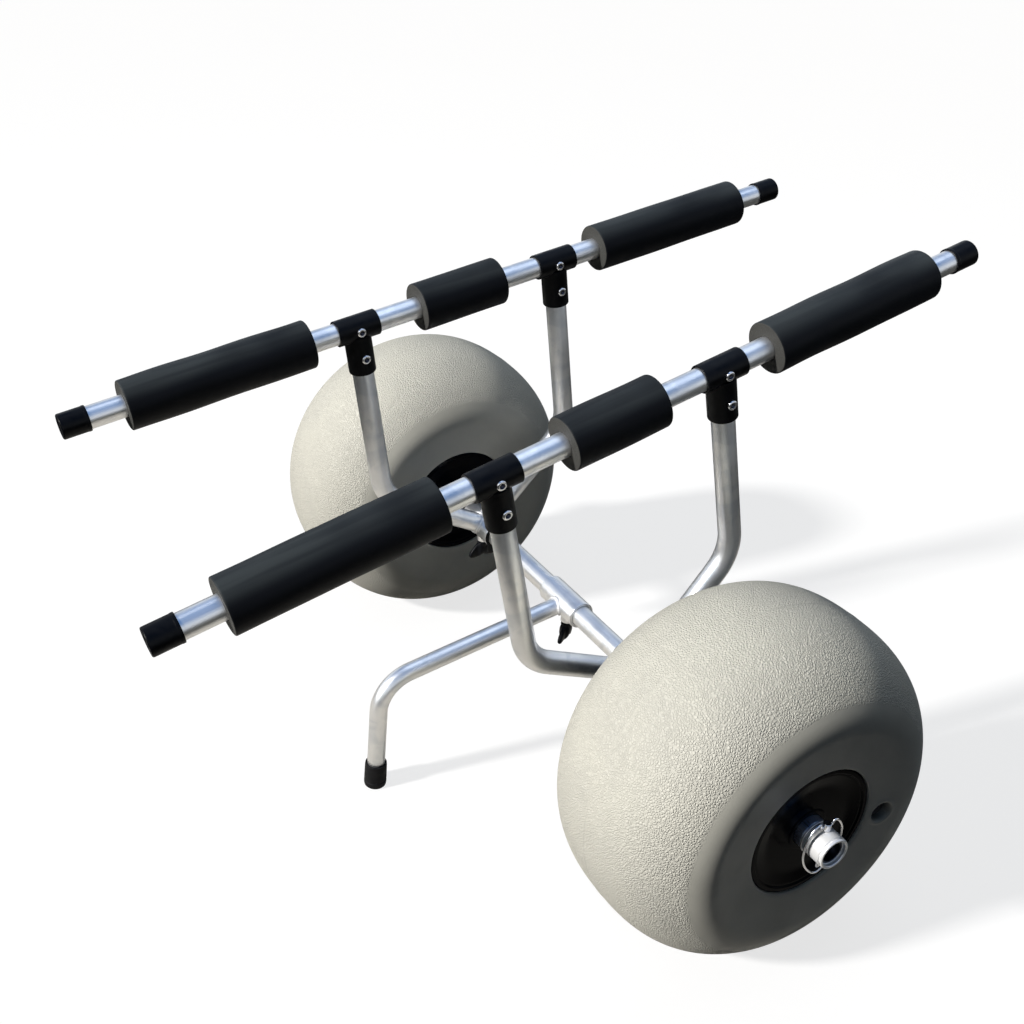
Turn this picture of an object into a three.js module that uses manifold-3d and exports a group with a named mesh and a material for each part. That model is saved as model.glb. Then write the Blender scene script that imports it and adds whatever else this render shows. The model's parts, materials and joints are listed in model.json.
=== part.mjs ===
// A beach kayak cart. X runs along the axle, Y along the boat, Z up; all sizes in millimetres.
// "Near" is the +X side and "far" the -X side. Both saddle frames stand tilted on the axle.

import * as THREE from 'three';
import { mergeVertices } from 'three/addons/utils/BufferGeometryUtils.js';
import Module from 'manifold-3d';

// Fits
const FIT_GAP = 0.3;            // free space between touching pieces
const CUT_OVERRUN = 5;          // how far a cutting tool runs past what it cuts

// Axle
const AXLE_RADIUS = 10;
const AXLE_WALL = 1.5;
const AXLE_HALF_LENGTH = 376;

// Wheels: low pressure tyre on a two-part hub
const WHEEL_RADIUS = 150;
const TYRE_CROWN_REACH = 104.5; // half width of the superellipse that the crown follows
const TYRE_CROWN_POWER = 2.58;
const TYRE_SHOULDER_RADIUS = 110;
const TYRE_SHOULDER_FILLET = 3;
const SIDEWALL_RADIUS = 93;
const SIDEWALL_HALF_WIDTH = 86.5;
const TYRE_WALL = 6;
const HUB_FACE_HALF_WIDTH = 81;
const HUB_FLANGE_RADIUS = 57;
const HUB_FLANGE_THICKNESS = 4;
const HUB_BARREL_RADIUS = 46;
const HUB_WALL = 4;
const HUB_BOSS_DEPTH = 34;
const HUB_DISH = 2.5;
const BUSH_RADIUS = 13.5;
const BUSH_DEPTH = 28;
const BUSH_PROUD = 7;

// Inflation valve in the outer sidewall
const VALVE_PITCH_RADIUS = 73;
const VALVE_ANGLE = -5;         // degrees from +Y about +X
const VALVE_HOLE_RADIUS = 8;
const VALVE_SINK = 4;
const VALVE_STEM_RADIUS = 2;
const VALVE_FLANGE_THICKNESS = 2;

// End collars, washers and safety pins
const COLLAR_RADIUS = 13.5;
const COLLAR_LENGTH = 19.5;
const COLLAR_LIP_DEPTH = 3;     // how far the collar runs past the axle's end
const COLLAR_MOUTH_RADIUS = 10.9;
const COLLAR_GROOVE_WIDTH = 1;
const COLLAR_GROOVE_DEPTH = 0.6;
const WASHER_RADIUS = 14.5;
const WASHER_THICKNESS = 1.5;
const STOP_RING_LENGTH = 8;
const STOP_RING_RADIUS = 14;
const PIN_RADIUS = 2;
const PIN_FROM_END = 13;        // from the collar's mouth to the pin
const PIN_TAIL_DROP = 24;
const PIN_HEAD_RADIUS = 3.4;
const PIN_HEAD_RISE = 17;       // height of the bail's eye above the axle
const PIN_HEAD_HEIGHT = 6;
const BAIL_WIRE_RADIUS = 0.95;
const BAIL_PEAK_RISE = 20.5;
const BAIL_PEAK_SPREAD = 7.5;
const BAIL_HALF_WIDTH = 17.5;
const BAIL_WAIST_RISE = 8;
const BAIL_DROP = 29;
const BAIL_TURN_SPREAD = 11;
const BAIL_TURN_DROP = 21;

// Saddle frames and the bars on them
const WHEEL_TO_FRAME = 134.5;   // from the middle of a wheel to the frame inside it
const NEAR_TILT = 15.3;         // degrees, the +Y end of the bar up
const FAR_TILT = 11.2;
const TUBE_RADIUS = 10;
const TUBE_WALL = 1.5;
const BAR_RISE = 265.5;         // from the axle to the bar, square to the bar
const BAR_HALF_LENGTH = 373;
const LEG_SPREAD = 105.5;       // half the distance between the legs
const LEG_CORNER_RISE = 80;     // where a leg's straight lines would meet
const LEG_BEND_RADIUS = 45;
const SLEEVE_RADIUS = 13;
const FRAME_SLEEVE_LENGTH = 50;
const LINER_WALL = 1;
const LINER_LIP = 2;

// Tee fittings
const TEE_BARREL_RADIUS = 12;
const TEE_BARREL_LENGTH = 40.6;
const TEE_STEM_RADIUS = 12.6;
const TEE_STEM_DROP = 43.5;
const TEE_STEM_WALL_OVER_LEG = 2;
const SCREW_SHANK_RADIUS = 2;
const SCREW_SHANK_LENGTH = 7;
const SCREW_HEAD_RADIUS = 4.25;
const SCREW_HEAD_HEIGHT = 2;
const SCREW_SOCKET_RADIUS = 1.7;
const SCREW_SOCKET_DEPTH = 1.2;
const SCREW_DROP = 27;

// Sleeves and caps on the bars
const FOAM_RADIUS = 22.3;
const FOAM_EDGE = 2.5;
const BARE_BAR_AT_TEE = 26.7;   // from a tee to the long sleeve beside it
const BARE_BAR_AT_CAP = 30.9;   // from that sleeve to the end cap
const SHORT_FOAM_LENGTH = 85.6;
const CAP_RADIUS = 11.3;
const CAP_OVERLAP = 20.6;
const CAP_FLOOR = 3;
const CAP_EDGE = 1.2;

// Kickstand
const KICK_X = 18.6;
const KICK_SLEEVE_LENGTH = 52.4;
const KICK_TUBE_RADIUS = 8.2;
const KICK_TUBE_WALL = 1.4;
const KICK_LEG_BACK = 194.5;    // from the axle to the leg that stands on the ground
const KICK_CORNER_DROP = 37;
const KICK_BEND_RADIUS = 36;
const FOOT_RADIUS = 10.4;
const FOOT_HEIGHT = 25;
const FOOT_FLOOR = 4;
const FOOT_EDGE = 1.5;

// Wing screws under the sleeves
const NUT_BOSS_RADIUS = 6;
const NUT_BOSS_HEIGHT = 5.5;
const STUD_RADIUS = 3;
const STUD_GRIP = 6;            // length of stud held inside the knob
const KNOB_STANDOFF = 2;        // bare stud between boss and knob
const KNOB_HUB_RADIUS = 5.4;
const KNOB_HUB_HEIGHT = 10;
const WING_SPAN = 30;
const WING_HEIGHT = 16;
const WING_THICKNESS = 5;
const WING_TIP_SHARE = 0.3;     // of a wing's height, how tall its tip is
const WING_TIP_ROUND = 4;
const WING_NOTCH_DEPTH = 4;
const KICK_KNOB_SHIFT = 5;      // along the axle from the middle of the kickstand's sleeve
const KICK_KNOB_TURN = 33;      // degrees about the screw's own line

// Facets
const WHEEL_SEGMENTS = 32;
const HUB_SEGMENTS = 20;
const TUBE_SEGMENTS = 16;
const TUBE_BORE_SEGMENTS = 8;
const FOAM_SEGMENTS = 18;
const SMALL_SEGMENTS = 8;
const WIRE_SEGMENTS = 5;
const BEND_STEPS = 4;
const BAIL_STEPS = 20;
const WING_STEPS = 4;
const TREAD_STEPS = { crown: 4, fillet: 2 };
const AIR_STEPS = { crown: 2, fillet: 1 };

const wasm = await Module();
wasm.setup();

const paint = (colour, roughness, metalness) =>
  () => new THREE.MeshStandardMaterial({ color: colour, roughness, metalness });
const PAINTS = {
  aluminium: paint(0xd9dde3, 0.3, 1),
  axleMetal: paint(0xd2d6dc, 0.28, 1),
  zinc: paint(0x8f98a3, 0.35, 1),
  steel: paint(0xc9ccd1, 0.25, 1),
  tyre: paint(0xb9b5a8, 0.85, 0),
  hub: paint(0x0b0c0e, 0.25, 0),
  bush: paint(0x5c6672, 0.4, 0),
  foam: paint(0x16171b, 0.9, 0),
  fitting: paint(0x121317, 0.45, 0),
  rubber: paint(0x101012, 0.8, 0),
  valve: paint(0x1b1b1d, 0.7, 0),
};

const radians = THREE.MathUtils.degToRad;
const V3 = (x, y, z) => new THREE.Vector3(x, y, z);

// Solids

// A closed geometry as a solid: shared vertices merged, and faces turned to point outwards.
function solidFrom(geometry) {
  let flat = geometry.clone();
  for (const name of ['normal', 'uv']) flat.deleteAttribute(name);
  flat = mergeVertices(flat);
  const points = flat.attributes.position.array;
  const index = Array.from(flat.index.array);
  const corner = (i) => V3(...points.subarray(3 * i, 3 * i + 3));
  let volume = 0;
  const triangles = [];
  for (let i = 0; i < index.length; i += 3) {
    const [a, b, c] = index.slice(i, i + 3);
    if (a === b || b === c || c === a) continue;
    triangles.push(a, b, c);
    volume += corner(a).dot(corner(b).cross(corner(c)));
  }
  if (volume < 0) triangles.reverse();
  const mesh = new wasm.Mesh({
    numProp: 3,
    vertProperties: new Float32Array(points),
    triVerts: new Uint32Array(triangles),
  });
  return new wasm.Manifold(mesh);
}

function geometryFrom(solid) {
  const { vertProperties, triVerts } = solid.getMesh();
  const geometry = new THREE.BufferGeometry();
  geometry.setAttribute('position', new THREE.BufferAttribute(new Float32Array(vertProperties), 3));
  geometry.setIndex(Array.from(triVerts));
  geometry.computeVertexNormals();
  return geometry;
}

// A profile of [place along X, radius] points turned about X, taken in the order that faces outwards.
function turned(profile, segments = TUBE_SEGMENTS) {
  const points = profile.map(([along, radius]) => new THREE.Vector2(radius, along));
  if (THREE.ShapeUtils.area(points) < 0) points.reverse();
  return new THREE.LatheGeometry(points, segments).rotateZ(-Math.PI / 2);
}

const ringProfile = (start, end, inner, outer) =>
  [[start, inner], [end, inner], [end, outer], [start, outer], [start, inner]];

const rodProfile = (start, end, radius) => [[start, 0], [start, radius], [end, radius], [end, 0]];

// The same turned shapes, along Y or Z instead of X.
const alongY = (geometry) => geometry.rotateZ(Math.PI / 2);
const alongZ = (geometry) => geometry.rotateY(-Math.PI / 2);

const moved = (geometry, x, y, z) => geometry.translate(x, y, z);

// A path of straight runs whose corners are rounded to one bend radius.
class BentPath extends THREE.Curve {
  constructor(corners, bendRadius) {
    super();
    this.stations = [];
    const last = corners.length - 1;
    corners.forEach((corner, i) => {
      if (i === 0 || i === last) {
        const ahead = i === 0 ? corners[1].clone().sub(corner) : corner.clone().sub(corners[i - 1]);
        this.stations.push({ point: corner, tangent: ahead.normalize() });
        return;
      }
      const before = corner.clone().sub(corners[i - 1]).normalize();
      const after = corners[i + 1].clone().sub(corner).normalize();
      const turn = before.angleTo(after);
      const start = corner.clone().addScaledVector(before, -bendRadius * Math.tan(turn / 2));
      const inward = after.clone().addScaledVector(before, -before.dot(after)).normalize();
      for (let k = 0; k <= BEND_STEPS; k += 1) {
        const angle = (turn * k) / BEND_STEPS;
        const point = start.clone()
          .addScaledVector(before, bendRadius * Math.sin(angle))
          .addScaledVector(inward, bendRadius * (1 - Math.cos(angle)));
        const tangent = before.clone().multiplyScalar(Math.cos(angle))
          .addScaledVector(inward, Math.sin(angle));
        this.stations.push({ point, tangent });
      }
    });
  }

  station(share) {
    return this.stations[Math.round(share * (this.stations.length - 1))];
  }

  getPointAt(share) {
    return this.station(share).point.clone();
  }

  getTangentAt(share) {
    return this.station(share).tangent.clone();
  }
}

function circle(radius, segments) {
  const shape = new THREE.Shape();
  for (let k = 0; k < segments; k += 1) {
    const angle = (2 * Math.PI * k) / segments;
    const [x, y] = [radius * Math.cos(angle), radius * Math.sin(angle)];
    if (k === 0) shape.moveTo(x, y);
    else shape.lineTo(x, y);
  }
  return shape.closePath();
}

function bentRod(path, radius, segments = TUBE_SEGMENTS) {
  return new THREE.ExtrudeGeometry(circle(radius, segments), {
    steps: path.stations.length - 1,
    extrudePath: path,
  });
}

// Wheel

const crownWidth = (radius, reach, crownRadius) =>
  reach * (1 - (radius / crownRadius) ** TYRE_CROWN_POWER) ** (1 / TYRE_CROWN_POWER);

// Half of the tyre's outline from the crown's middle to the hub: superellipse, fillet, flat sidewall.
function tyreHalfOutline(inset, steps) {
  const reach = TYRE_CROWN_REACH - inset;
  const crownRadius = WHEEL_RADIUS - inset;
  const shoulderRadius = TYRE_SHOULDER_RADIUS - inset / 2;
  const shoulderX = crownWidth(shoulderRadius, reach, crownRadius);
  const sideX = SIDEWALL_HALF_WIDTH - inset;
  const sideRadius = SIDEWALL_RADIUS - inset / 2;
  const points = [];
  for (let k = 0; k < steps.crown; k += 1) {
    const x = shoulderX * Math.sin((Math.PI / 2) * (k / steps.crown));
    const share = (x / reach) ** TYRE_CROWN_POWER;
    points.push([x, crownRadius * (1 - share) ** (1 / TYRE_CROWN_POWER)]);
  }
  const widest = Math.max(sideX, shoulderX) + TYRE_SHOULDER_FILLET / 2;
  const fillet = new THREE.QuadraticBezierCurve(
    new THREE.Vector2(shoulderX, shoulderRadius),
    new THREE.Vector2(widest, (shoulderRadius + sideRadius) / 2),
    new THREE.Vector2(sideX, sideRadius),
  );
  for (const point of fillet.getPoints(steps.fillet)) points.push([point.x, point.y]);
  return points;
}

function bothSides(half) {
  const mirrored = half.slice(1).map(([x, radius]) => [-x, radius]).reverse();
  return [...mirrored, ...half];
}

const valveSpot = () => {
  const angle = radians(VALVE_ANGLE);
  return [VALVE_PITCH_RADIUS * Math.cos(angle), VALVE_PITCH_RADIUS * Math.sin(angle)];
};

// Where the dished sidewall lies at a given radius, between its rim and the hub flange.
function sidewallX(radius) {
  const flangeX = HUB_FACE_HALF_WIDTH;
  const share = (radius - HUB_FLANGE_RADIUS) / (SIDEWALL_RADIUS - HUB_FLANGE_RADIUS);
  return flangeX + (SIDEWALL_HALF_WIDTH - flangeX) * share;
}

function tyreGeometry() {
  const seatX = HUB_FACE_HALF_WIDTH - HUB_FLANGE_THICKNESS - FIT_GAP;
  const flangeRadius = HUB_FLANGE_RADIUS + FIT_GAP;
  const boreRadius = HUB_BARREL_RADIUS + FIT_GAP;
  const half = [
    ...tyreHalfOutline(0, TREAD_STEPS),
    [sidewallX(flangeRadius), flangeRadius],
    [seatX, flangeRadius],
    [seatX, boreRadius],
  ];
  const outline = bothSides(half);
  outline.push(outline[0]);
  const airHalf = tyreHalfOutline(TYRE_WALL, AIR_STEPS);
  const airInner = boreRadius + TYRE_WALL;
  const airX = seatX - TYRE_WALL;
  const air = bothSides([...airHalf, [airX, flangeRadius + TYRE_WALL], [airX, airInner]]);
  air.push(air[0]);
  const [y, z] = valveSpot();
  const holeStart = airX - CUT_OVERRUN;
  const hole = moved(
    turned(rodProfile(holeStart, SIDEWALL_HALF_WIDTH + CUT_OVERRUN, VALVE_HOLE_RADIUS), SMALL_SEGMENTS),
    0, y, z,
  );
  return geometryFrom(
    solidFrom(turned(outline, WHEEL_SEGMENTS))
      .subtract(solidFrom(turned(air, WHEEL_SEGMENTS)))
      .subtract(solidFrom(hole)),
  );
}

// The plug sits sunk in its hole and has a short stem towards the air side.
function valvePlugGeometry() {
  const face = sidewallX(VALVE_PITCH_RADIUS) - VALVE_SINK;
  const radius = VALVE_HOLE_RADIUS - FIT_GAP;
  const inner = face - TYRE_WALL;
  return turned([
    [inner, 0],
    [inner, radius],
    [face - VALVE_FLANGE_THICKNESS, radius],
    [face, radius - VALVE_FLANGE_THICKNESS / 2],
    [face, VALVE_STEM_RADIUS],
    [face + VALVE_FLANGE_THICKNESS, VALVE_STEM_RADIUS],
    [face + VALVE_FLANGE_THICKNESS, 0],
  ], SMALL_SEGMENTS);
}

// One half of the hub: a dished flange, the barrel wall and the boss round the bush.
function hubHalfGeometry() {
  const face = HUB_FACE_HALF_WIDTH;
  const back = face - HUB_FLANGE_THICKNESS;
  const middle = FIT_GAP / 2;
  const bossInner = BUSH_RADIUS + FIT_GAP;
  const bossOuter = bossInner + HUB_WALL;
  const barrelInner = HUB_BARREL_RADIUS - HUB_WALL;
  const bossEnd = face - HUB_BOSS_DEPTH;
  return turned([
    [face - HUB_DISH, bossInner],
    [face - HUB_DISH, barrelInner],
    [face, HUB_FLANGE_RADIUS - HUB_FLANGE_THICKNESS],
    [face, HUB_FLANGE_RADIUS],
    [back, HUB_FLANGE_RADIUS],
    [back, HUB_BARREL_RADIUS],
    [middle, HUB_BARREL_RADIUS],
    [middle, barrelInner],
    [back - HUB_DISH, barrelInner],
    [back - HUB_DISH, bossOuter],
    [bossEnd, bossOuter],
    [bossEnd, bossInner],
    [face - HUB_DISH, bossInner],
  ], HUB_SEGMENTS);
}

const bushFace = HUB_FACE_HALF_WIDTH - HUB_DISH + BUSH_PROUD;

const bushGeometry = () =>
  turned(ringProfile(bushFace - BUSH_PROUD - BUSH_DEPTH, bushFace, AXLE_RADIUS + FIT_GAP, BUSH_RADIUS));

// Axle line

const collarEnd = AXLE_HALF_LENGTH + COLLAR_LIP_DEPTH;
const collarStart = collarEnd - COLLAR_LENGTH;
const pinX = collarEnd - PIN_FROM_END;
const washerStart = collarStart - FIT_GAP - WASHER_THICKNESS;
const wheelCentreX = washerStart - FIT_GAP - bushFace;
const frameX = wheelCentreX - WHEEL_TO_FRAME;

const pinDrill = () => solidFrom(moved(
  alongZ(turned(rodProfile(
    -COLLAR_RADIUS - CUT_OVERRUN, COLLAR_RADIUS + CUT_OVERRUN, PIN_RADIUS + FIT_GAP), SMALL_SEGMENTS)),
  pinX, 0, 0,
));

function axleGeometry() {
  const tube = turned(ringProfile(
    -AXLE_HALF_LENGTH, AXLE_HALF_LENGTH, AXLE_RADIUS - AXLE_WALL, AXLE_RADIUS));
  const farDrill = pinDrill().translate([-2 * pinX, 0, 0]);
  return geometryFrom(solidFrom(tube).subtract(pinDrill()).subtract(farDrill));
}

function collarGeometry() {
  const groove = collarEnd - COLLAR_LIP_DEPTH;
  const bore = AXLE_RADIUS + FIT_GAP;
  const grooveRadius = COLLAR_RADIUS - COLLAR_GROOVE_DEPTH;
  const body = turned([
    [collarStart, bore],
    [AXLE_HALF_LENGTH, bore],
    [AXLE_HALF_LENGTH, COLLAR_MOUTH_RADIUS],
    [collarEnd, COLLAR_MOUTH_RADIUS],
    [collarEnd, COLLAR_RADIUS - COLLAR_GROOVE_DEPTH],
    [collarEnd - COLLAR_GROOVE_DEPTH, COLLAR_RADIUS],
    [groove + COLLAR_GROOVE_WIDTH, COLLAR_RADIUS],
    [groove + COLLAR_GROOVE_WIDTH, grooveRadius],
    [groove, grooveRadius],
    [groove, COLLAR_RADIUS],
    [collarStart, COLLAR_RADIUS],
    [collarStart, bore],
  ]);
  return geometryFrom(solidFrom(body).subtract(pinDrill()));
}

const washerGeometry = () => turned(ringProfile(
  washerStart, washerStart + WASHER_THICKNESS, AXLE_RADIUS + FIT_GAP, WASHER_RADIUS));

// The ring that stops the wheel from sliding inwards.
function stopRingGeometry() {
  const start = wheelCentreX - bushFace - FIT_GAP - STOP_RING_LENGTH;
  return turned(ringProfile(start, start + STOP_RING_LENGTH, AXLE_RADIUS + FIT_GAP, STOP_RING_RADIUS));
}

function safetyPinGeometry() {
  const headLow = PIN_HEAD_RISE - PIN_HEAD_HEIGHT / 2;
  const headTop = PIN_HEAD_RISE + PIN_HEAD_HEIGHT / 2;
  const pin = turned([
    [-PIN_TAIL_DROP, 0],
    [-PIN_TAIL_DROP, PIN_RADIUS / 2],
    [-PIN_TAIL_DROP + PIN_RADIUS, PIN_RADIUS],
    [headLow, PIN_RADIUS],
    [headLow, PIN_HEAD_RADIUS],
    [headTop, PIN_HEAD_RADIUS],
    [headTop, 0],
  ], SMALL_SEGMENTS);
  return moved(alongZ(pin), pinX, 0, 0);
}

// The wire bail starts and ends at the two sides of the pin's head and goes round the collar.
function safetyBailGeometry() {
  const eye = PIN_HEAD_RADIUS + FIT_GAP;
  const side = [
    [eye, PIN_HEAD_RISE],
    [eye + 2 * BAIL_WIRE_RADIUS, PIN_HEAD_RISE],
    [BAIL_PEAK_SPREAD, BAIL_PEAK_RISE],
    [(BAIL_PEAK_SPREAD + BAIL_HALF_WIDTH) / 2, (BAIL_PEAK_RISE + PIN_HEAD_RISE) / 2],
    [BAIL_HALF_WIDTH, BAIL_WAIST_RISE],
    [BAIL_HALF_WIDTH, -BAIL_WAIST_RISE],
    [BAIL_TURN_SPREAD, -BAIL_TURN_DROP],
  ];
  const other = side.map(([y, z]) => [-y, z]).reverse();
  const route = [...side, [0, -BAIL_DROP], ...other].map(([y, z]) => V3(pinX, y, z));
  return new THREE.ExtrudeGeometry(circle(BAIL_WIRE_RADIUS, WIRE_SEGMENTS), {
    steps: BAIL_STEPS,
    extrudePath: new THREE.CatmullRomCurve3(route),
  });
}

// Saddle frames. Each is made upright about the axle at X = 0, and tilted by its group.

const linerRadius = AXLE_RADIUS + FIT_GAP + LINER_WALL;
const frameBore = linerRadius + FIT_GAP;

function studBoss() {
  return alongZ(turned(
    rodProfile(-SLEEVE_RADIUS - NUT_BOSS_HEIGHT, -AXLE_RADIUS, NUT_BOSS_RADIUS), SMALL_SEGMENTS));
}

function studDrill() {
  return alongZ(turned(
    rodProfile(-SLEEVE_RADIUS - NUT_BOSS_HEIGHT - CUT_OVERRUN, 0, STUD_RADIUS + FIT_GAP),
    SMALL_SEGMENTS));
}

function linerGeometry() {
  const half = FRAME_SLEEVE_LENGTH / 2;
  const lip = half + FIT_GAP;
  return turned([
    [-lip - LINER_LIP, AXLE_RADIUS + FIT_GAP],
    [lip + LINER_LIP, AXLE_RADIUS + FIT_GAP],
    [lip + LINER_LIP, SLEEVE_RADIUS],
    [lip, SLEEVE_RADIUS],
    [lip, linerRadius],
    [-lip, linerRadius],
    [-lip, SLEEVE_RADIUS],
    [-lip - LINER_LIP, SLEEVE_RADIUS],
    [-lip - LINER_LIP, AXLE_RADIUS + FIT_GAP],
  ]);
}

const legTop = BAR_RISE - TUBE_RADIUS - FIT_GAP - TEE_STEM_WALL_OVER_LEG - FIT_GAP;

const screwPlaces = (side) => [
  [side * LEG_SPREAD, BAR_RISE],
  [side * LEG_SPREAD, BAR_RISE - SCREW_DROP],
];

// Holes for the shanks of one tee's two screws, from the +X side.
function screwDrills(side) {
  return screwPlaces(side).map(([y, z]) => solidFrom(moved(
    turned(rodProfile(0, TEE_STEM_RADIUS + CUT_OVERRUN, SCREW_SHANK_RADIUS + FIT_GAP), SMALL_SEGMENTS),
    0, y, z,
  )));
}

const cutAll = (solid, tools) => tools.reduce((rest, tool) => rest.subtract(tool), solid);

// The boss of the wing screw is turned back by the tilt, so that the screw hangs straight down.
function frameGeometry(tilt) {
  const legPath = (side) => new BentPath(
    [V3(0, side * LEG_SPREAD, legTop), V3(0, side * LEG_SPREAD, LEG_CORNER_RISE), V3(0, 0, 0)],
    LEG_BEND_RADIUS,
  );
  const rods = (radius, segments) =>
    [1, -1].map((side) => solidFrom(bentRod(legPath(side), radius, segments)));
  const hung = (geometry) => solidFrom(geometry.rotateX(-tilt));
  const half = FRAME_SLEEVE_LENGTH / 2;
  const [right, left] = rods(TUBE_RADIUS);
  const legs = cutAll(right.add(left), rods(TUBE_RADIUS - TUBE_WALL, TUBE_BORE_SEGMENTS));
  return geometryFrom(cutAll(
    legs
      .add(solidFrom(turned(ringProfile(-half, half, frameBore, SLEEVE_RADIUS))))
      .add(hung(studBoss())),
    [
      solidFrom(turned(rodProfile(-half - CUT_OVERRUN, half + CUT_OVERRUN, frameBore))),
      hung(studDrill()),
      ...screwDrills(1),
      ...screwDrills(-1),
    ],
  ));
}

function barGeometry() {
  const tube = moved(
    alongY(turned(ringProfile(-BAR_HALF_LENGTH, BAR_HALF_LENGTH, TUBE_RADIUS - TUBE_WALL, TUBE_RADIUS))),
    0, 0, BAR_RISE,
  );
  return geometryFrom(cutAll(solidFrom(tube), [...screwDrills(1), ...screwDrills(-1)]));
}

function teeGeometry(side) {
  const half = TEE_BARREL_LENGTH / 2;
  const onBar = (profile) => solidFrom(
    moved(alongY(turned(profile)), 0, side * LEG_SPREAD, BAR_RISE));
  const onLeg = (profile) => solidFrom(
    moved(alongZ(turned(profile)), 0, side * LEG_SPREAD, BAR_RISE));
  const legBoreTop = legTop + FIT_GAP - BAR_RISE;
  return geometryFrom(cutAll(
    onBar(rodProfile(-half, half, TEE_BARREL_RADIUS))
      .add(onLeg(rodProfile(-TEE_STEM_DROP, -TEE_BARREL_RADIUS / 2, TEE_STEM_RADIUS))),
    [
      onBar(rodProfile(-half - CUT_OVERRUN, half + CUT_OVERRUN, TUBE_RADIUS + FIT_GAP)),
      onLeg(rodProfile(-TEE_STEM_DROP - CUT_OVERRUN, legBoreTop, TUBE_RADIUS + FIT_GAP)),
      ...screwDrills(side),
    ],
  ));
}

// A pan head screw with a sunk drive, its head seated on a tee's barrel or stem.
function screwGeometry(seatRadius) {
  const seat = seatRadius + FIT_GAP;
  const top = seat + SCREW_HEAD_HEIGHT;
  return turned([
    [seat - SCREW_SHANK_LENGTH, 0],
    [seat - SCREW_SHANK_LENGTH, SCREW_SHANK_RADIUS],
    [seat, SCREW_SHANK_RADIUS],
    [seat, SCREW_HEAD_RADIUS],
    [top - SCREW_HEAD_HEIGHT / 2, SCREW_HEAD_RADIUS],
    [top, (SCREW_HEAD_RADIUS + SCREW_SOCKET_RADIUS) / 2],
    [top, SCREW_SOCKET_RADIUS],
    [top - SCREW_SOCKET_DEPTH, SCREW_SOCKET_RADIUS],
    [top - SCREW_SOCKET_DEPTH, 0],
  ], SMALL_SEGMENTS);
}

const longFoamStart = LEG_SPREAD + TEE_BARREL_LENGTH / 2 + BARE_BAR_AT_TEE;
const longFoamEnd = BAR_HALF_LENGTH - CAP_OVERLAP - BARE_BAR_AT_CAP;

function foamGeometry(start, end) {
  const bore = TUBE_RADIUS + FIT_GAP;
  const flat = FOAM_RADIUS - FOAM_EDGE;
  const foam = turned([
    [start, bore], [end, bore], [end, flat], [end - FOAM_EDGE, FOAM_RADIUS],
    [start + FOAM_EDGE, FOAM_RADIUS], [start, flat], [start, bore],
  ], FOAM_SEGMENTS);
  return moved(alongY(foam), 0, 0, BAR_RISE);
}

function capGeometry(side) {
  const open = BAR_HALF_LENGTH - CAP_OVERLAP;
  const seat = BAR_HALF_LENGTH + FIT_GAP;
  const end = seat + CAP_FLOOR;
  const bore = TUBE_RADIUS + FIT_GAP;
  const profile = [
    [open, bore], [seat, bore], [seat, 0], [end, 0], [end, CAP_RADIUS - CAP_EDGE],
    [end - CAP_EDGE, CAP_RADIUS], [open, CAP_RADIUS], [open, bore],
  ].map(([along, radius]) => [side * along, radius]);
  return moved(alongY(turned(profile)), 0, 0, BAR_RISE);
}

// Kickstand

const kickBore = AXLE_RADIUS + FIT_GAP;

function kickstandGeometry() {
  const half = KICK_SLEEVE_LENGTH / 2;
  const legBottom = -WHEEL_RADIUS + FOOT_FLOOR + FIT_GAP;
  const path = new BentPath(
    [V3(0, 0, 0), V3(0, -KICK_LEG_BACK, -KICK_CORNER_DROP), V3(0, -KICK_LEG_BACK, legBottom)],
    KICK_BEND_RADIUS,
  );
  const leg = solidFrom(bentRod(path, KICK_TUBE_RADIUS))
    .subtract(solidFrom(bentRod(path, KICK_TUBE_RADIUS - KICK_TUBE_WALL, TUBE_BORE_SEGMENTS)));
  const aside = (geometry) => solidFrom(moved(geometry, KICK_KNOB_SHIFT, 0, 0));
  return geometryFrom(cutAll(
    leg
      .add(solidFrom(turned(ringProfile(-half, half, kickBore, SLEEVE_RADIUS))))
      .add(aside(studBoss())),
    [
      solidFrom(turned(rodProfile(-half - CUT_OVERRUN, half + CUT_OVERRUN, kickBore))),
      aside(studDrill()),
    ],
  ));
}

function footGeometry() {
  const seat = FOOT_FLOOR;
  const bore = KICK_TUBE_RADIUS + FIT_GAP;
  return alongZ(turned([
    [0, 0], [0, FOOT_RADIUS - FOOT_EDGE], [FOOT_EDGE, FOOT_RADIUS], [FOOT_HEIGHT, FOOT_RADIUS],
    [FOOT_HEIGHT, bore], [seat, bore], [seat, 0],
  ]));
}

// Wing screws, made hanging straight down from the axle line

function studGeometry(tipRadius) {
  const knobTop = SLEEVE_RADIUS + NUT_BOSS_HEIGHT + KNOB_STANDOFF;
  return alongZ(turned(rodProfile(-knobTop - STUD_GRIP, -tipRadius - FIT_GAP, STUD_RADIUS),
    SMALL_SEGMENTS));
}

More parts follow.
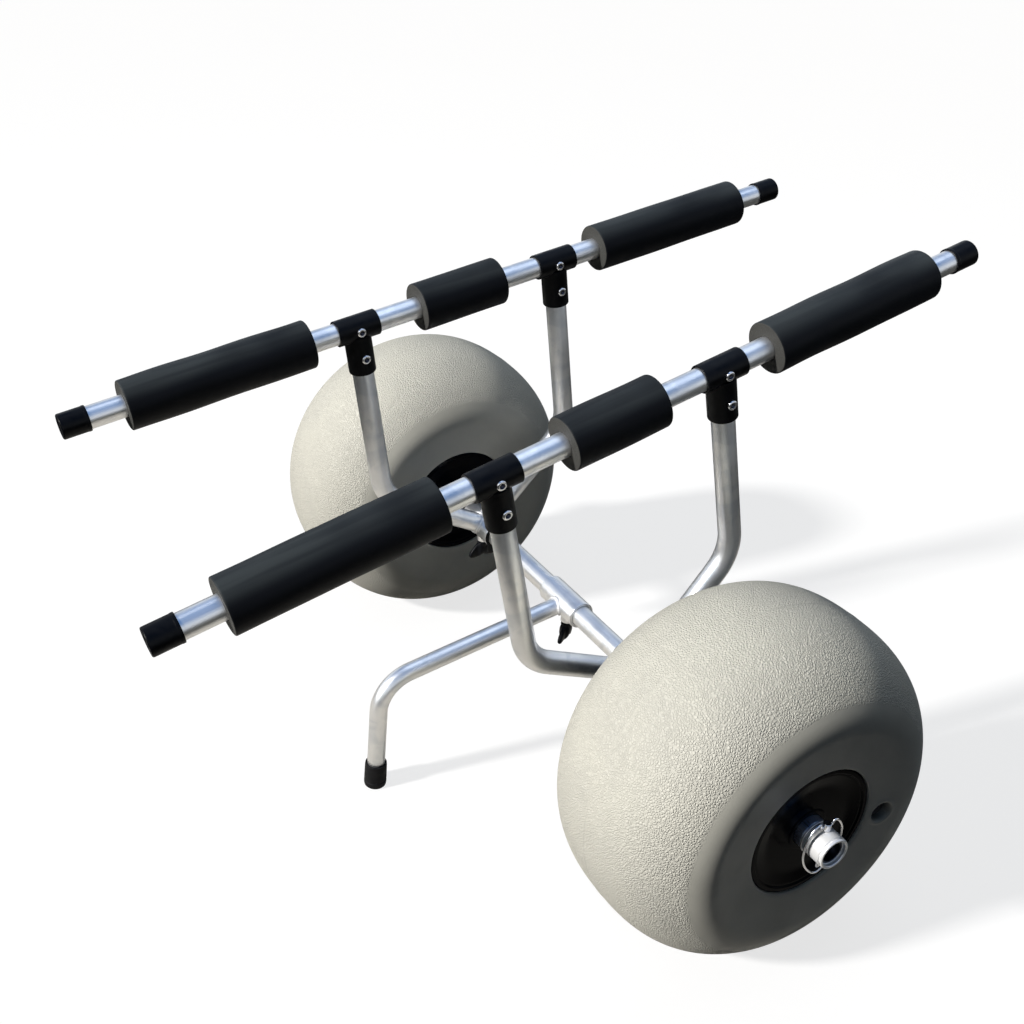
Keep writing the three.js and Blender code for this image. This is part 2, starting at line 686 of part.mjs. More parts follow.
// A round hub with two wings that spread downwards like a fan, drilled for its stud.
function knobGeometry() {
  const top = -(SLEEVE_RADIUS + NUT_BOSS_HEIGHT + KNOB_STANDOFF);
  const hub = solidFrom(alongZ(turned(rodProfile(top - KNOB_HUB_HEIGHT, top, KNOB_HUB_RADIUS),
    SMALL_SEGMENTS)));
  const halfSpan = WING_SPAN / 2;
  const wingTop = top - KNOB_HUB_HEIGHT / 4;
  const wingLow = wingTop - WING_HEIGHT;
  const tipTop = wingLow + WING_HEIGHT * WING_TIP_SHARE;
  const tipInside = halfSpan - WING_TIP_ROUND;
  const notchTop = wingLow + WING_NOTCH_DEPTH;
  const shape = new THREE.Shape();
  shape.moveTo(-KNOB_HUB_RADIUS, wingTop);
  shape.lineTo(KNOB_HUB_RADIUS, wingTop);
  shape.quadraticCurveTo(tipInside, tipTop + WING_TIP_ROUND, halfSpan, tipTop);
  shape.quadraticCurveTo(halfSpan, wingLow, tipInside, wingLow);
  shape.quadraticCurveTo(KNOB_HUB_RADIUS, notchTop, 0, notchTop);
  shape.quadraticCurveTo(-KNOB_HUB_RADIUS, notchTop, -tipInside, wingLow);
  shape.quadraticCurveTo(-halfSpan, wingLow, -halfSpan, tipTop);
  shape.quadraticCurveTo(-tipInside, tipTop + WING_TIP_ROUND, -KNOB_HUB_RADIUS, wingTop);
  const wings = new THREE.ExtrudeGeometry(shape, {
    depth: WING_THICKNESS, bevelEnabled: false, curveSegments: WING_STEPS,
  });
  wings.translate(0, 0, -WING_THICKNESS / 2).rotateX(Math.PI / 2).rotateZ(Math.PI / 2);
  const drill = solidFrom(alongZ(turned(
    rodProfile(top - STUD_GRIP - FIT_GAP, top + CUT_OVERRUN, STUD_RADIUS + FIT_GAP), SMALL_SEGMENTS)));
  return geometryFrom(hub.add(solidFrom(wings)).subtract(drill));
}

// Assembly

function piece(name, geometry, paintName) {
  const mesh = new THREE.Mesh(geometry, PAINTS[paintName]());
  mesh.name = name;
  return mesh;
}

const group = (...children) => new THREE.Group().add(...children);

// One wheel and the end of the axle it runs on, for the +X side.
function wheelEnd(name) {
  const hubOuter = piece(`${name}_hub_outer`, hubHalfGeometry(), 'hub');
  const hubInner = piece(`${name}_hub_inner`, hubHalfGeometry(), 'hub');
  const bushOuter = piece(`${name}_bush_outer`, bushGeometry(), 'bush');
  const bushInner = piece(`${name}_bush_inner`, bushGeometry(), 'bush');
  for (const inner of [hubInner, bushInner]) inner.rotation.z = Math.PI;
  const plug = piece(`${name}_valve_plug`, valvePlugGeometry(), 'valve');
  const [y, z] = valveSpot();
  plug.position.set(0, y, z);
  const wheel = group(
    piece(`${name}_tyre`, tyreGeometry(), 'tyre'), hubOuter, hubInner, bushOuter, bushInner, plug);
  wheel.position.x = wheelCentreX;
  return group(
    wheel,
    piece(`${name}_stop_ring`, stopRingGeometry(), 'zinc'),
    piece(`${name}_washer`, washerGeometry(), 'zinc'),
    piece(`${name}_collar`, collarGeometry(), 'aluminium'),
    piece(`${name}_safety_pin`, safetyPinGeometry(), 'steel'),
    piece(`${name}_safety_bail`, safetyBailGeometry(), 'steel'),
  );
}

function wingScrew(name, tipRadius, aboutAxle, aboutItself) {
  const screw = group(
    piece(`${name}_wing_stud`, studGeometry(tipRadius), 'steel'),
    piece(`${name}_wing_knob`, knobGeometry(), 'fitting'),
  );
  screw.rotation.set(aboutAxle, 0, aboutItself);
  return screw;
}

function saddleFrame(name, x, tilt) {
  const frame = group(
    piece(`${name}_frame`, frameGeometry(tilt), 'aluminium'),
    piece(`${name}_liner`, linerGeometry(), 'fitting'),
    piece(`${name}_bar`, barGeometry(), 'aluminium'),
    piece(`${name}_foam_back`, foamGeometry(-longFoamEnd, -longFoamStart), 'foam'),
    piece(`${name}_foam_middle`, foamGeometry(-SHORT_FOAM_LENGTH / 2, SHORT_FOAM_LENGTH / 2), 'foam'),
    piece(`${name}_foam_front`, foamGeometry(longFoamStart, longFoamEnd), 'foam'),
    wingScrew(name, linerRadius, -tilt, 0),
  );
  for (const [end, side] of [['back', -1], ['front', 1]]) {
    frame.add(
      piece(`${name}_cap_${end}`, capGeometry(side), 'fitting'),
      piece(`${name}_tee_${end}`, teeGeometry(side), 'fitting'),
    );
    const rows = [['bar', TEE_BARREL_RADIUS], ['leg', TEE_STEM_RADIUS]];
    rows.forEach(([row, seatRadius], i) => {
      const screw = piece(`${name}_${row}_screw_${end}`, screwGeometry(seatRadius), 'steel');
      screw.position.set(0, ...screwPlaces(side)[i]);
      frame.add(screw);
    });
  }
  frame.position.x = x;
  frame.rotation.x = tilt;
  return frame;
}

function kickstand() {
  const foot = piece('kickstand_foot', footGeometry(), 'rubber');
  foot.position.set(0, -KICK_LEG_BACK, -WHEEL_RADIUS);
  const screw = wingScrew('kickstand', AXLE_RADIUS, 0, radians(KICK_KNOB_TURN));
  screw.position.x = KICK_KNOB_SHIFT;
  const stand = group(piece('kickstand', kickstandGeometry(), 'aluminium'), foot, screw);
  stand.position.x = KICK_X;
  return stand;
}

const farEnd = wheelEnd('far');
farEnd.rotation.z = Math.PI;

const cart = group(
  piece('axle', axleGeometry(), 'axleMetal'),
  wheelEnd('near'),
  farEnd,
  saddleFrame('near', frameX, radians(NEAR_TILT)),
  saddleFrame('far', -frameX, radians(FAR_TILT)),
  kickstand(),
);

// The origin is on the ground, under the middle of the cart's box.
cart.position.z = WHEEL_RADIUS;
cart.updateMatrixWorld(true);
const box = new THREE.Box3().setFromObject(cart, true);
cart.position.y = -(box.min.y + box.max.y) / 2;
cart.updateMatrixWorld(true);

export default cart;
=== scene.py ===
"""Visible surfaces, finishes and studio of a beach kayak cart.

The cart stands on the ground plane. X runs along the axle, Y along the boat, Z up, in metres.
"Near" is the +X side and "far" the -X side.
"""

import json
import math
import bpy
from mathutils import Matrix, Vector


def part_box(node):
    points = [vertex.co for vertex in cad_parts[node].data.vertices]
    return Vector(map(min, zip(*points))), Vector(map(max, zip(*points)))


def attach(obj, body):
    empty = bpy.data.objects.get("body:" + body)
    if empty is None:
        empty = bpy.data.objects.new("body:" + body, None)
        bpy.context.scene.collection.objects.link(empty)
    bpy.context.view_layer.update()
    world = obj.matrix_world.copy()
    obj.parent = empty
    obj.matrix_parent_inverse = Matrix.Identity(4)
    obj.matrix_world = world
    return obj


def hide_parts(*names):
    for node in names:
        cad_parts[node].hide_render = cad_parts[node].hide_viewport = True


bl_info = {
    "name": "Kayak Cart",
    "version": (1, 0, 0),
    "blender": (4, 5, 0),
    "location": "3D Viewport > Sidebar > Kayak Cart",
    "description": "Builds the surfaces, finishes and studio of a beach kayak cart",
    "category": "Object",
}

import bpy
import numpy as np
from bpy.props import FloatProperty, FloatVectorProperty, PointerProperty
from mathutils import Matrix, Vector

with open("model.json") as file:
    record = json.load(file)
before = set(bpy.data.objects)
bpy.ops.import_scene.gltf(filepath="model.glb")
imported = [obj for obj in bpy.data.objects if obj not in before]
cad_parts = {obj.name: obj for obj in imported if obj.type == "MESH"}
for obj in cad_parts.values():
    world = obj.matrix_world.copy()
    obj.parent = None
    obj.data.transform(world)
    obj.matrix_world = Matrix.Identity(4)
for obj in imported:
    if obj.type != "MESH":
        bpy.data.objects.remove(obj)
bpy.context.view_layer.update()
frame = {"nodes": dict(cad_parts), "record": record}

MM = 0.001
# The gap between a part and what turns in it or sits on it, the rounding of a cut tube's ends,
# and how far a leg's mouth reaches into the sleeve that it is welded to
CLEARANCE, TUBE_EDGE, BITE = 0.3 * MM, 0.4 * MM, 0.8 * MM
SIDES = ("near", "far")
ENDS = {"back": -1.0, "front": 1.0}
AXLE_LOW, AXLE_HIGH = (np.array(corner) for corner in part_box("axle"))
AXLE_Y, AXLE_Z = (AXLE_LOW[1] + AXLE_HIGH[1]) / 2, (AXLE_LOW[2] + AXLE_HIGH[2]) / 2
BODY_OF = {
    node: body for body, nodes in frame["record"]["behaviour"]["bodies"].items() for node in nodes
}


# Settings


def length(name, description, millimetres):
    """A length setting, given in millimetres and kept in metres."""
    return FloatProperty(
        name=name, description=description, default=millimetres * MM, min=0.0, precision=5,
        unit="LENGTH", subtype="DISTANCE",
    )


def angle(name, description, degrees):
    """An angle setting, given in degrees and kept in radians."""
    return FloatProperty(
        name=name, description=description, default=math.radians(degrees), unit="ROTATION",
        subtype="ANGLE",
    )


def colour(name, description, value):
    """A linear colour setting."""
    return FloatVectorProperty(
        name=name, description=description, default=value, size=3, min=0.0, max=1.0,
        subtype="COLOR",
    )


class CartWheelSizes(bpy.types.PropertyGroup):
    """Sizes of a wheel and of the end of the axle that it runs on."""

    tyre_radius: length("Tyre Radius", "Radius of the tyre at the middle of its crown", 150)
    crown_reach: length("Crown Reach", "Half width of the crown's superellipse", 104.5)
    crown_power: FloatProperty(
        name="Crown Power", description="Power of the crown's superellipse", default=2.58, min=2.0
    )
    shoulder_radius: length("Shoulder Radius", "Radius where the shoulder starts", 120)
    sidewall_radius: length("Sidewall Radius", "Radius where the sidewall starts", 90)
    sidewall_reach: length("Sidewall Reach", "Half width of the tyre over its sidewalls", 86.4)
    pebble_radius: length("Pebble Radius", "Radius below which the pebbled pattern fades out", 117)
    seam_height: length("Seam Height", "How far the mould seam stands out of the crown", 0.22)
    lip_radius: length("Lip Radius", "Radius of the tyre's lip round the hub", 60)
    lip_drop: length("Lip Drop", "How far the lip lies inside the sidewall's widest place", 3.2)
    hub_radius: length("Hub Radius", "Radius of the hub's flange", 57)
    hub_reach: length("Hub Reach", "Half width of the hub over its flanges", 81)
    hub_dish: length("Hub Dish", "How far the middle of the hub lies below its rim", 2.5)
    bush_radius: length("Bush Radius", "Outside radius of the wheel bush", 13.5)
    axle_radius: length("Axle Radius", "Outside radius of the axle tube", 10)
    axle_wall: length("Axle Wall", "Wall of the axle tube", 1.5)
    collar_radius: length("Collar Radius", "Outside radius of the end collar", 13.5)
    wire_radius: length("Wire Radius", "Radius of the safety pin's wire", 0.95)


class CartSaddleSizes(bpy.types.PropertyGroup):
    """Sizes of the saddle frames, their bars and the kickstand."""

    near_tilt: angle("Near Tilt", "Tilt of the near saddle frame", 15.3)
    far_tilt: angle("Far Tilt", "Tilt of the far saddle frame", 11.2)
    frame_reach: length("Frame Reach", "Half the distance between the two bars", 137.4)
    bar_rise: length("Bar Rise", "From the axle to a bar, square to the bar", 265.5)
    bar_half: length("Half Bar", "Half the length of a bar", 373)
    tube_radius: length("Tube Radius", "Outside radius of the frame and bar tubes", 10)
    tube_wall: length("Tube Wall", "Wall of the frame and bar tubes", 1.5)
    leg_spread: length("Leg Spread", "Half the distance between the legs of a frame", 105.5)
    leg_corner: length("Leg Corner", "Height at which a leg's straight lines meet", 80)
    leg_bend: length("Leg Bend", "Bend radius of the legs", 45)
    sleeve_radius: length("Sleeve Radius", "Outside radius of the sleeves on the axle", 13)
    frame_sleeve: length("Frame Sleeve", "Length of a saddle frame's sleeve", 50)
    foam_radius: length("Foam Radius", "Outside radius of the foam sleeves", 22.3)
    cap_radius: length("Cap Radius", "Outside radius of the end caps", 11.3)
    kick_x: length("Kickstand Place", "Place of the kickstand along the axle", 18.6)
    kick_sleeve: length("Kickstand Sleeve", "Length of the kickstand's sleeve", 52.4)
    kick_radius: length("Kickstand Radius", "Outside radius of the kickstand's tube", 8.2)
    kick_back: length("Kickstand Reach", "From the axle back to the kickstand's foot", 194.5)
    kick_drop: length("Kickstand Drop", "Drop of the kickstand's corner below the axle", 37)
    kick_bend: length("Kickstand Bend", "Bend radius of the kickstand", 36)


class CartFinishes(bpy.types.PropertyGroup):
    """Colours of the finishes."""

    tyre: colour("Tyre", "Warm grey of the moulded tyre", (0.6, 0.588, 0.52))
    hub: colour("Hub", "Gloss black of the hub", (0.0008, 0.0012, 0.003))
    bush: colour("Bush", "Grey blue of the wheel bush", (0.42, 0.48, 0.6))
    tube: colour("Tube", "Satin aluminium tube", (0.86, 0.86, 0.86))
    steel: colour("Steel", "Bright steel of pins and screws", (0.72, 0.72, 0.74))
    foam: colour("Foam", "Skin of the foam sleeves", (0.003, 0.0036, 0.0052))
    foam_cut: colour("Cut Foam", "Cut ends of the foam sleeves", (0.068, 0.068, 0.064))
    fitting: colour("Fitting", "Moulded black fittings", (0.0018, 0.0022, 0.0035))
    rubber: colour("Rubber", "Black rubber", (0.004, 0.004, 0.0045))
    floor: colour("Floor", "Pale studio floor", (0.86, 0.86, 0.86))


def settings():
    """The wheel sizes, the saddle sizes and the finishes of the open scene."""
    scene = bpy.context.scene
    return scene.cart_wheel_sizes, scene.cart_saddle_sizes, scene.cart_finishes


# Places: 4x4 matrices that carry a piece's own axes into the cart's


def shift(x=0.0, y=0.0, z=0.0):
    """A move by (x, y, z)."""
    return np.array(Matrix.Translation((x, y, z)))


def turn(radians, axis):
    """A turn about one of the axes through the origin."""
    return np.array(Matrix.Rotation(radians, 4, axis))


ALONG_Y = turn(math.pi / 2, "Z")
ALONG_Z = turn(-math.pi / 2, "Y")
DOWN_Z = turn(math.pi / 2, "Y")


def on_axle(x=0.0):
    """The axle line, with its origin at x."""
    return shift(x, AXLE_Y, AXLE_Z)


def on_wheel(side):
    """The middle of a wheel, with +X towards the outside of the cart."""
    low, high = (np.array(corner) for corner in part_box(f"{side}_tyre"))
    place = on_axle((low[0] + high[0]) / 2)
    return place if side == "near" else place @ turn(math.pi, "Z")


def on_axle_end(side):
    """The middle of the axle, with +X towards one of its ends."""
    return on_axle() if side == "near" else on_axle() @ turn(math.pi, "Z")


def along_axle(node, side):
    """Start and end of a node along the axle, from the middle out to that side."""
    low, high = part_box(node)
    return (low.x, high.x) if side == "near" else (-high.x, -low.x)


def on_saddle(side):
    """The foot of a saddle frame on the axle, with the tilt of that frame."""
    _, sizes, _ = settings()
    if side == "near":
        return on_axle(sizes.frame_reach) @ turn(sizes.near_tilt, "X")
    return on_axle(-sizes.frame_reach) @ turn(sizes.far_tilt, "X")


# Surfaces: grids of points in two parameters


class Shell:
    """One closed surface. straight holds each point's place on the upright, unbent piece."""

    def __init__(self, points, straight, faces, mask):
        self.points = points
        self.straight = straight
        self.mask = mask
        self.faces = faces if self.volume(points, faces) > 0 else [f[:, ::-1] for f in faces]

    @staticmethod
    def volume(points, faces):
        """Sum over the triangles of a . (b x c) / 6: positive when the faces point outwards."""
        total = 0.0
        for block in faces:
            for second in range(1, block.shape[1] - 1):
                a, b, c = (points[block[:, k]] for k in (0, second, second + 1))
                total += np.einsum("ij,ij->i", a, np.cross(b, c)).sum() / 6
        return total

    def placed(self, place):
        """The same surface, carried by a 4x4 matrix."""
        moved = self.points @ place[:3, :3].T + place[:3, 3]
        return Shell(moved, self.straight, self.faces, self.mask)


def quads(rows, columns, wrap_rows):
    """Corner numbers of the quads between neighbouring grid points; columns always wrap."""
    row, column = np.meshgrid(
        np.arange(rows if wrap_rows else rows - 1), np.arange(columns), indexing="ij"
    )
    below, beside = (row + 1) % rows, (column + 1) % columns
    corners = [row * columns + column, row * columns + beside,
               below * columns + beside, below * columns + column]
    return np.stack(corners, -1).reshape(-1, 4)


def shell_from_grid(points, straight, mask=None, wrap_rows=True):
    """A closed surface from a grid whose columns wrap. Rows wrap too, or end in two poles."""
    rows, columns = points.shape[:2]
    mask = np.zeros((rows, columns)) if mask is None else np.broadcast_to(mask, (rows, columns))
    if wrap_rows:
        faces = [quads(rows, columns, True)]
        return Shell(points.reshape(-1, 3), straight.reshape(-1, 3), faces, mask.reshape(-1))
    flat = [np.concatenate([grid[1:-1].reshape(-1, 3), grid[:1].mean(1), grid[-1:].mean(1)])
            for grid in (points, straight)]
    values = np.concatenate([mask[1:-1].reshape(-1), mask[:1].mean(1), mask[-1:].mean(1)])
    count = (rows - 2) * columns
    column = np.arange(columns)
    beside = (column + 1) % columns
    last = (rows - 3) * columns
    first_fan = np.stack([beside, column, np.full(columns, count)], -1)
    last_fan = np.stack([last + column, last + beside, np.full(columns, count + 1)], -1)
    faces = [quads(rows - 2, columns, False), first_fan, last_fan]
    return Shell(flat[0], flat[1], faces, values)


def rounded(corners, radius, steps=4, closed=True):
    """Corners of a profile, each rounded by a parabola that starts and ends one radius away.

    radius is one number, or one for each corner. A ring of points just outside each round keeps
    the flats beside it flat in shading. Ends of an open profile stay as they are.
    """
    corners = np.asarray(corners, float)
    count = len(corners)
    radii = np.broadcast_to(np.asarray(radius, float), (count,))
    share = np.linspace(0, 1, steps + 1)[:, None]
    out = []
    for i, corner in enumerate(corners):
        if not closed and i in (0, count - 1):
            out.append(corner[None])
            continue
        before, after = corners[i - 1] - corner, corners[(i + 1) % count] - corner
        reach = min(radii[i], 0.45 * np.hypot(*before), 0.45 * np.hypot(*after))
        if reach <= 0:
            out.append(corner[None])
            continue
        start = corner + before / np.hypot(*before) * reach
        end = corner + after / np.hypot(*after) * reach
        arc = (1 - share) ** 2 * start + 2 * share * (1 - share) * corner + share**2 * end
        hold = 0.12 * reach
        out += [(start + before / np.hypot(*before) * hold)[None], arc,
                (end + after / np.hypot(*after) * hold)[None]]
    return np.concatenate(out)


def revolved(profile, turns=96, closed=True, angles=None, mask=None):
    """A profile of (along, radius) turned about X: (along(v), radius(v) cos u, radius(v) sin u)."""
    around = np.linspace(0, 2 * np.pi, turns, endpoint=False) if angles is None else angles
    along, radius = np.asarray(profile, float).T
    grid = np.stack([
        np.broadcast_to(along[:, None], (len(along), len(around))),
        radius[:, None] * np.cos(around), radius[:, None] * np.sin(around),
    ], -1)
    values = None if mask is None else np.asarray(mask, float)[:, None]
    return shell_from_grid(grid, grid, values, wrap_rows=closed)


def lathed(corners, radii, turns, closed=True, steps=4):
    """A profile of (along, radius) corners, each rounded by its radius, turned about X."""
    return revolved(rounded(corners, radii, steps, closed), turns, closed)


def ring(start, end, inner, outer, edge, turns=96, dark=0.02 * MM):
    """A plain ring along X with rounded outer edges; the mask is 1 up to dark outside its bore,
    where metal finishes paint shade.
    """
    corners = [(start, inner), (end, inner), (end, outer), (start, outer)]
    profile = rounded(corners, [edge / 2, edge / 2, edge, edge])
    return revolved(profile, turns, mask=profile[:, 1] < inner + dark)


class BentLine:
    """Straight runs in the YZ plane, joined by round bends; at(s) gives the line at distances s."""

    def __init__(self, corners, bend, steps=20):
        corners = np.asarray(corners, float)
        line, ahead = [corners[:1]], []
        first = (corners[1] - corners[0]) / np.hypot(*(corners[1] - corners[0]))
        ahead.append(first[None])
        for before, corner, after in zip(corners, corners[1:], corners[2:]):
            d1 = (corner - before) / np.hypot(*(corner - before))
            d2 = (after - corner) / np.hypot(*(after - corner))
            total = math.acos(float(np.clip(d1 @ d2, -1, 1)))
            inward = (d2 - d1 * (d1 @ d2)) / np.hypot(*(d2 - d1 * (d1 @ d2)))
            start = corner - d1 * bend * math.tan(total / 2)
            share = np.linspace(0, total, steps + 1)[:, None]
            line.append(start + d1 * bend * np.sin(share) + inward * bend * (1 - np.cos(share)))
            ahead.append(d1 * np.cos(share) + inward * np.sin(share))
        line.append(corners[-1:])
        ahead.append(d2[None])
        self.line, self.ahead = np.concatenate(line), np.concatenate(ahead)
        gaps = np.hypot(*(self.line[1:] - self.line[:-1]).T)
        self.stations = np.concatenate([[0.0], np.cumsum(gaps)])
        self.length = self.stations[-1]

    def at(self, s):
        """Points and directions of the line at distances s from its start."""
        point = np.stack([np.interp(s, self.stations, self.line[:, k]) for k in (0, 1)], -1)
        ahead = np.stack([np.interp(s, self.stations, self.ahead[:, k]) for k in (0, 1)], -1)
        return point, ahead / np.linalg.norm(ahead, axis=-1, keepdims=True)


def bent_tube(line, radius, wall, mouth, turns=48):
    """A tube round a bent line: line(s) + r (n cos u + X sin u), with n square to the line.

    The start is cut to the round of a cylinder about X of radius mouth: there
    s >= sqrt(mouth^2 - (r cos u)^2), which fades out along the first straight run.
    """
    inner, edge, end = radius - wall, TUBE_EDGE, line.length
    inside = line.stations[(line.stations > 2 * edge) & (line.stations < end - 2 * edge)]
    fading = line.stations[1] * np.array([0.12, 0.3, 0.6])
    inside = np.sort(np.concatenate([inside, fading]))
    start_rows = [(0.0, inner), (0.0, radius - edge), (0.3 * edge, radius - 0.3 * edge),
                  (edge, radius)]
    end_rows = [(end - edge, radius), (end - 0.3 * edge, radius - 0.3 * edge),
                (end, radius - edge), (end, inner)]
    outside = np.stack([inside, np.full_like(inside, radius)], -1)
    bore = np.stack([inside, np.full_like(inside, inner)], -1)[::-1]
    rows = np.concatenate([start_rows, outside, end_rows, bore])
    around = np.linspace(0, 2 * np.pi, turns, endpoint=False)
    s, r = (np.broadcast_to(column[:, None], (len(rows), turns)) for column in rows.T)
    cut = np.sqrt(np.maximum(mouth**2 - (r * np.cos(around)) ** 2, 0))
    fade = np.clip(1 - s / line.stations[1], 0, 1)
    s = s + cut * fade
    point, ahead = line.at(s)
    across = np.stack([-ahead[..., 1], ahead[..., 0]], -1)
    yz = point + across * (r * np.cos(around))[..., None]
    grid = np.concatenate([(r * np.sin(around))[..., None], yz], -1)
    straight = np.stack([s, r * np.cos(around), r * np.sin(around)], -1)
    return shell_from_grid(grid, straight)


def smooth_curve(points, steps):
    """A Catmull-Rom curve through points: cubic spans whose slopes are half the chord beside."""
    points = np.asarray(points, float)
    before, after = 2 * points[:1] - points[1:2], 2 * points[-1:] - points[-2:-1]
    padded = np.concatenate([before, points, after])
    a, b, c, d = padded[:-3], padded[1:-2], padded[2:-1], padded[3:]
    t = np.linspace(0, 1, steps, endpoint=False)[:, None, None]
    spans = 0.5 * (2 * b + (c - a) * t + (2 * a - 5 * b + 4 * c - d) * t**2
                   + (3 * b - a - 3 * c + d) * t**3)
    curve = spans.transpose(1, 0, 2).reshape(-1, points.shape[1])
    return np.concatenate([curve, points[-1:]])


def wire(curve, radius, turns):
    """A round wire along a curve in the YZ plane: centre + r (n cos u + X sin u).

    It is closed by round ends, where r falls off as a quarter of a circle.
    """
    curve = np.asarray(curve, float)
    ahead = np.gradient(curve, axis=0)
    ahead /= np.linalg.norm(ahead, axis=1, keepdims=True)
    caps = np.linspace(0, np.pi / 2, 5)
    start = curve[:1] - ahead[:1] * (radius * np.cos(caps))[:, None]
    end = curve[-1:] + ahead[-1:] * (radius * np.sin(caps))[:, None]
    centre = np.concatenate([start, curve[1:-1], end])
    ahead = np.concatenate([
        np.repeat(ahead[:1], len(caps), 0), ahead[1:-1], np.repeat(ahead[-1:], len(caps), 0)])
    size = np.concatenate([
        radius * np.sin(caps), np.full(len(curve) - 2, radius), radius * np.cos(caps)])
    around = np.linspace(0, 2 * np.pi, turns, endpoint=False)
    across = np.stack([-ahead[:, 1], ahead[:, 0]], -1)
    yz = centre[:, None] + across[:, None] * (size[:, None] * np.cos(around))[..., None]
    x = size[:, None] * np.sin(around)
    grid = np.concatenate([x[..., None], yz], -1)
    walked = np.concatenate([[0.0], np.cumsum(np.linalg.norm(np.diff(centre, axis=0), axis=1))])
    straight = np.stack([np.broadcast_to(walked[:, None], x.shape), x,
                         size[:, None] * np.cos(around)], -1)
    return shell_from_grid(grid, straight, wrap_rows=False)


def weld(sleeve, leg, direction, bead, turns=120):
    """A weld bead round a tube of radius leg that stands on a cylinder about X of radius sleeve.

    Its middle line is X leg cos a + n leg sin a + d sqrt(sleeve^2 - leg^2 sin^2 a), and its
    thickness ripples as a run of overlapping puddles.
    """
    a = np.linspace(0, 2 * np.pi, turns, endpoint=False)
    d = np.array([0.0, *direction]) / np.hypot(*direction)
    n, x = np.array([0.0, -d[2], d[1]]), np.array([1.0, 0.0, 0.0])
    out_of_leg = x * np.cos(a)[:, None] + n * np.sin(a)[:, None]
    rise = np.sqrt(sleeve**2 - (leg * np.sin(a)) ** 2)[:, None]
    middle = out_of_leg * leg + d * rise
    out_of_sleeve = (n * (leg * np.sin(a))[:, None] + d * rise) / sleeve
    second = out_of_sleeve - out_of_leg * np.einsum("ij,ij->i", out_of_sleeve, out_of_leg)[:, None]
    second /= np.linalg.norm(second, axis=1, keepdims=True)
    size = bead * (1 + 0.12 * np.abs(np.sin(a * 13)) + 0.06 * np.sin(a * 3 + 1.2))
    b = np.linspace(0, 2 * np.pi, 12, endpoint=False)
    grid = middle[:, None] + size[:, None, None] * (
        out_of_leg[:, None] * np.cos(b)[:, None] + second[:, None] * np.sin(b)[:, None])
    return shell_from_grid(grid, grid)


def add_piece(name, node, finish, *shells):
    """Joins closed surfaces into one piece, in the finish of that name.

    The piece stands for the node, and moves with the node's body.
    """
    offsets = np.cumsum([0] + [len(s.points) for s in shells])
    points = np.concatenate([s.points for s in shells])
    blocks = [block + offset for s, offset in zip(shells, offsets) for block in s.faces]
    sizes = np.concatenate([np.full(len(b), b.shape[1]) for b in blocks])
    corners = np.concatenate([b.reshape(-1) for b in blocks])
    mesh = bpy.data.meshes.new(name)
    mesh.vertices.add(len(points))
    mesh.vertices.foreach_set("co", points.reshape(-1).astype(np.float32))
    mesh.loops.add(len(corners))
    mesh.loops.foreach_set("vertex_index", corners.astype(np.int32))
    mesh.polygons.add(len(sizes))
    starts = np.concatenate([[0], np.cumsum(sizes)[:-1]])
    mesh.polygons.foreach_set("loop_start", starts.astype(np.int32))
    mesh.polygons.foreach_set("use_smooth", np.ones(len(sizes), bool))
    straight = mesh.attributes.new("straight", "FLOAT_VECTOR", "POINT")
    straight.data.foreach_set(
        "vector", np.concatenate([s.straight for s in shells]).reshape(-1).astype(np.float32))
    mask = mesh.attributes.new("mask", "FLOAT", "POINT")
    mask.data.foreach_set("value", np.concatenate([s.mask for s in shells]).astype(np.float32))
    mesh.update(calc_edges=True)
    if mesh.validate():
        raise RuntimeError(f"{name}: the mesh had faults")
    mesh.materials.append(finish_named(finish))
    piece = bpy.data.objects.new(name, mesh)
    bpy.context.scene.collection.objects.link(piece)
    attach(piece, BODY_OF[node])
    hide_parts(node)
    return piece


# Finishes


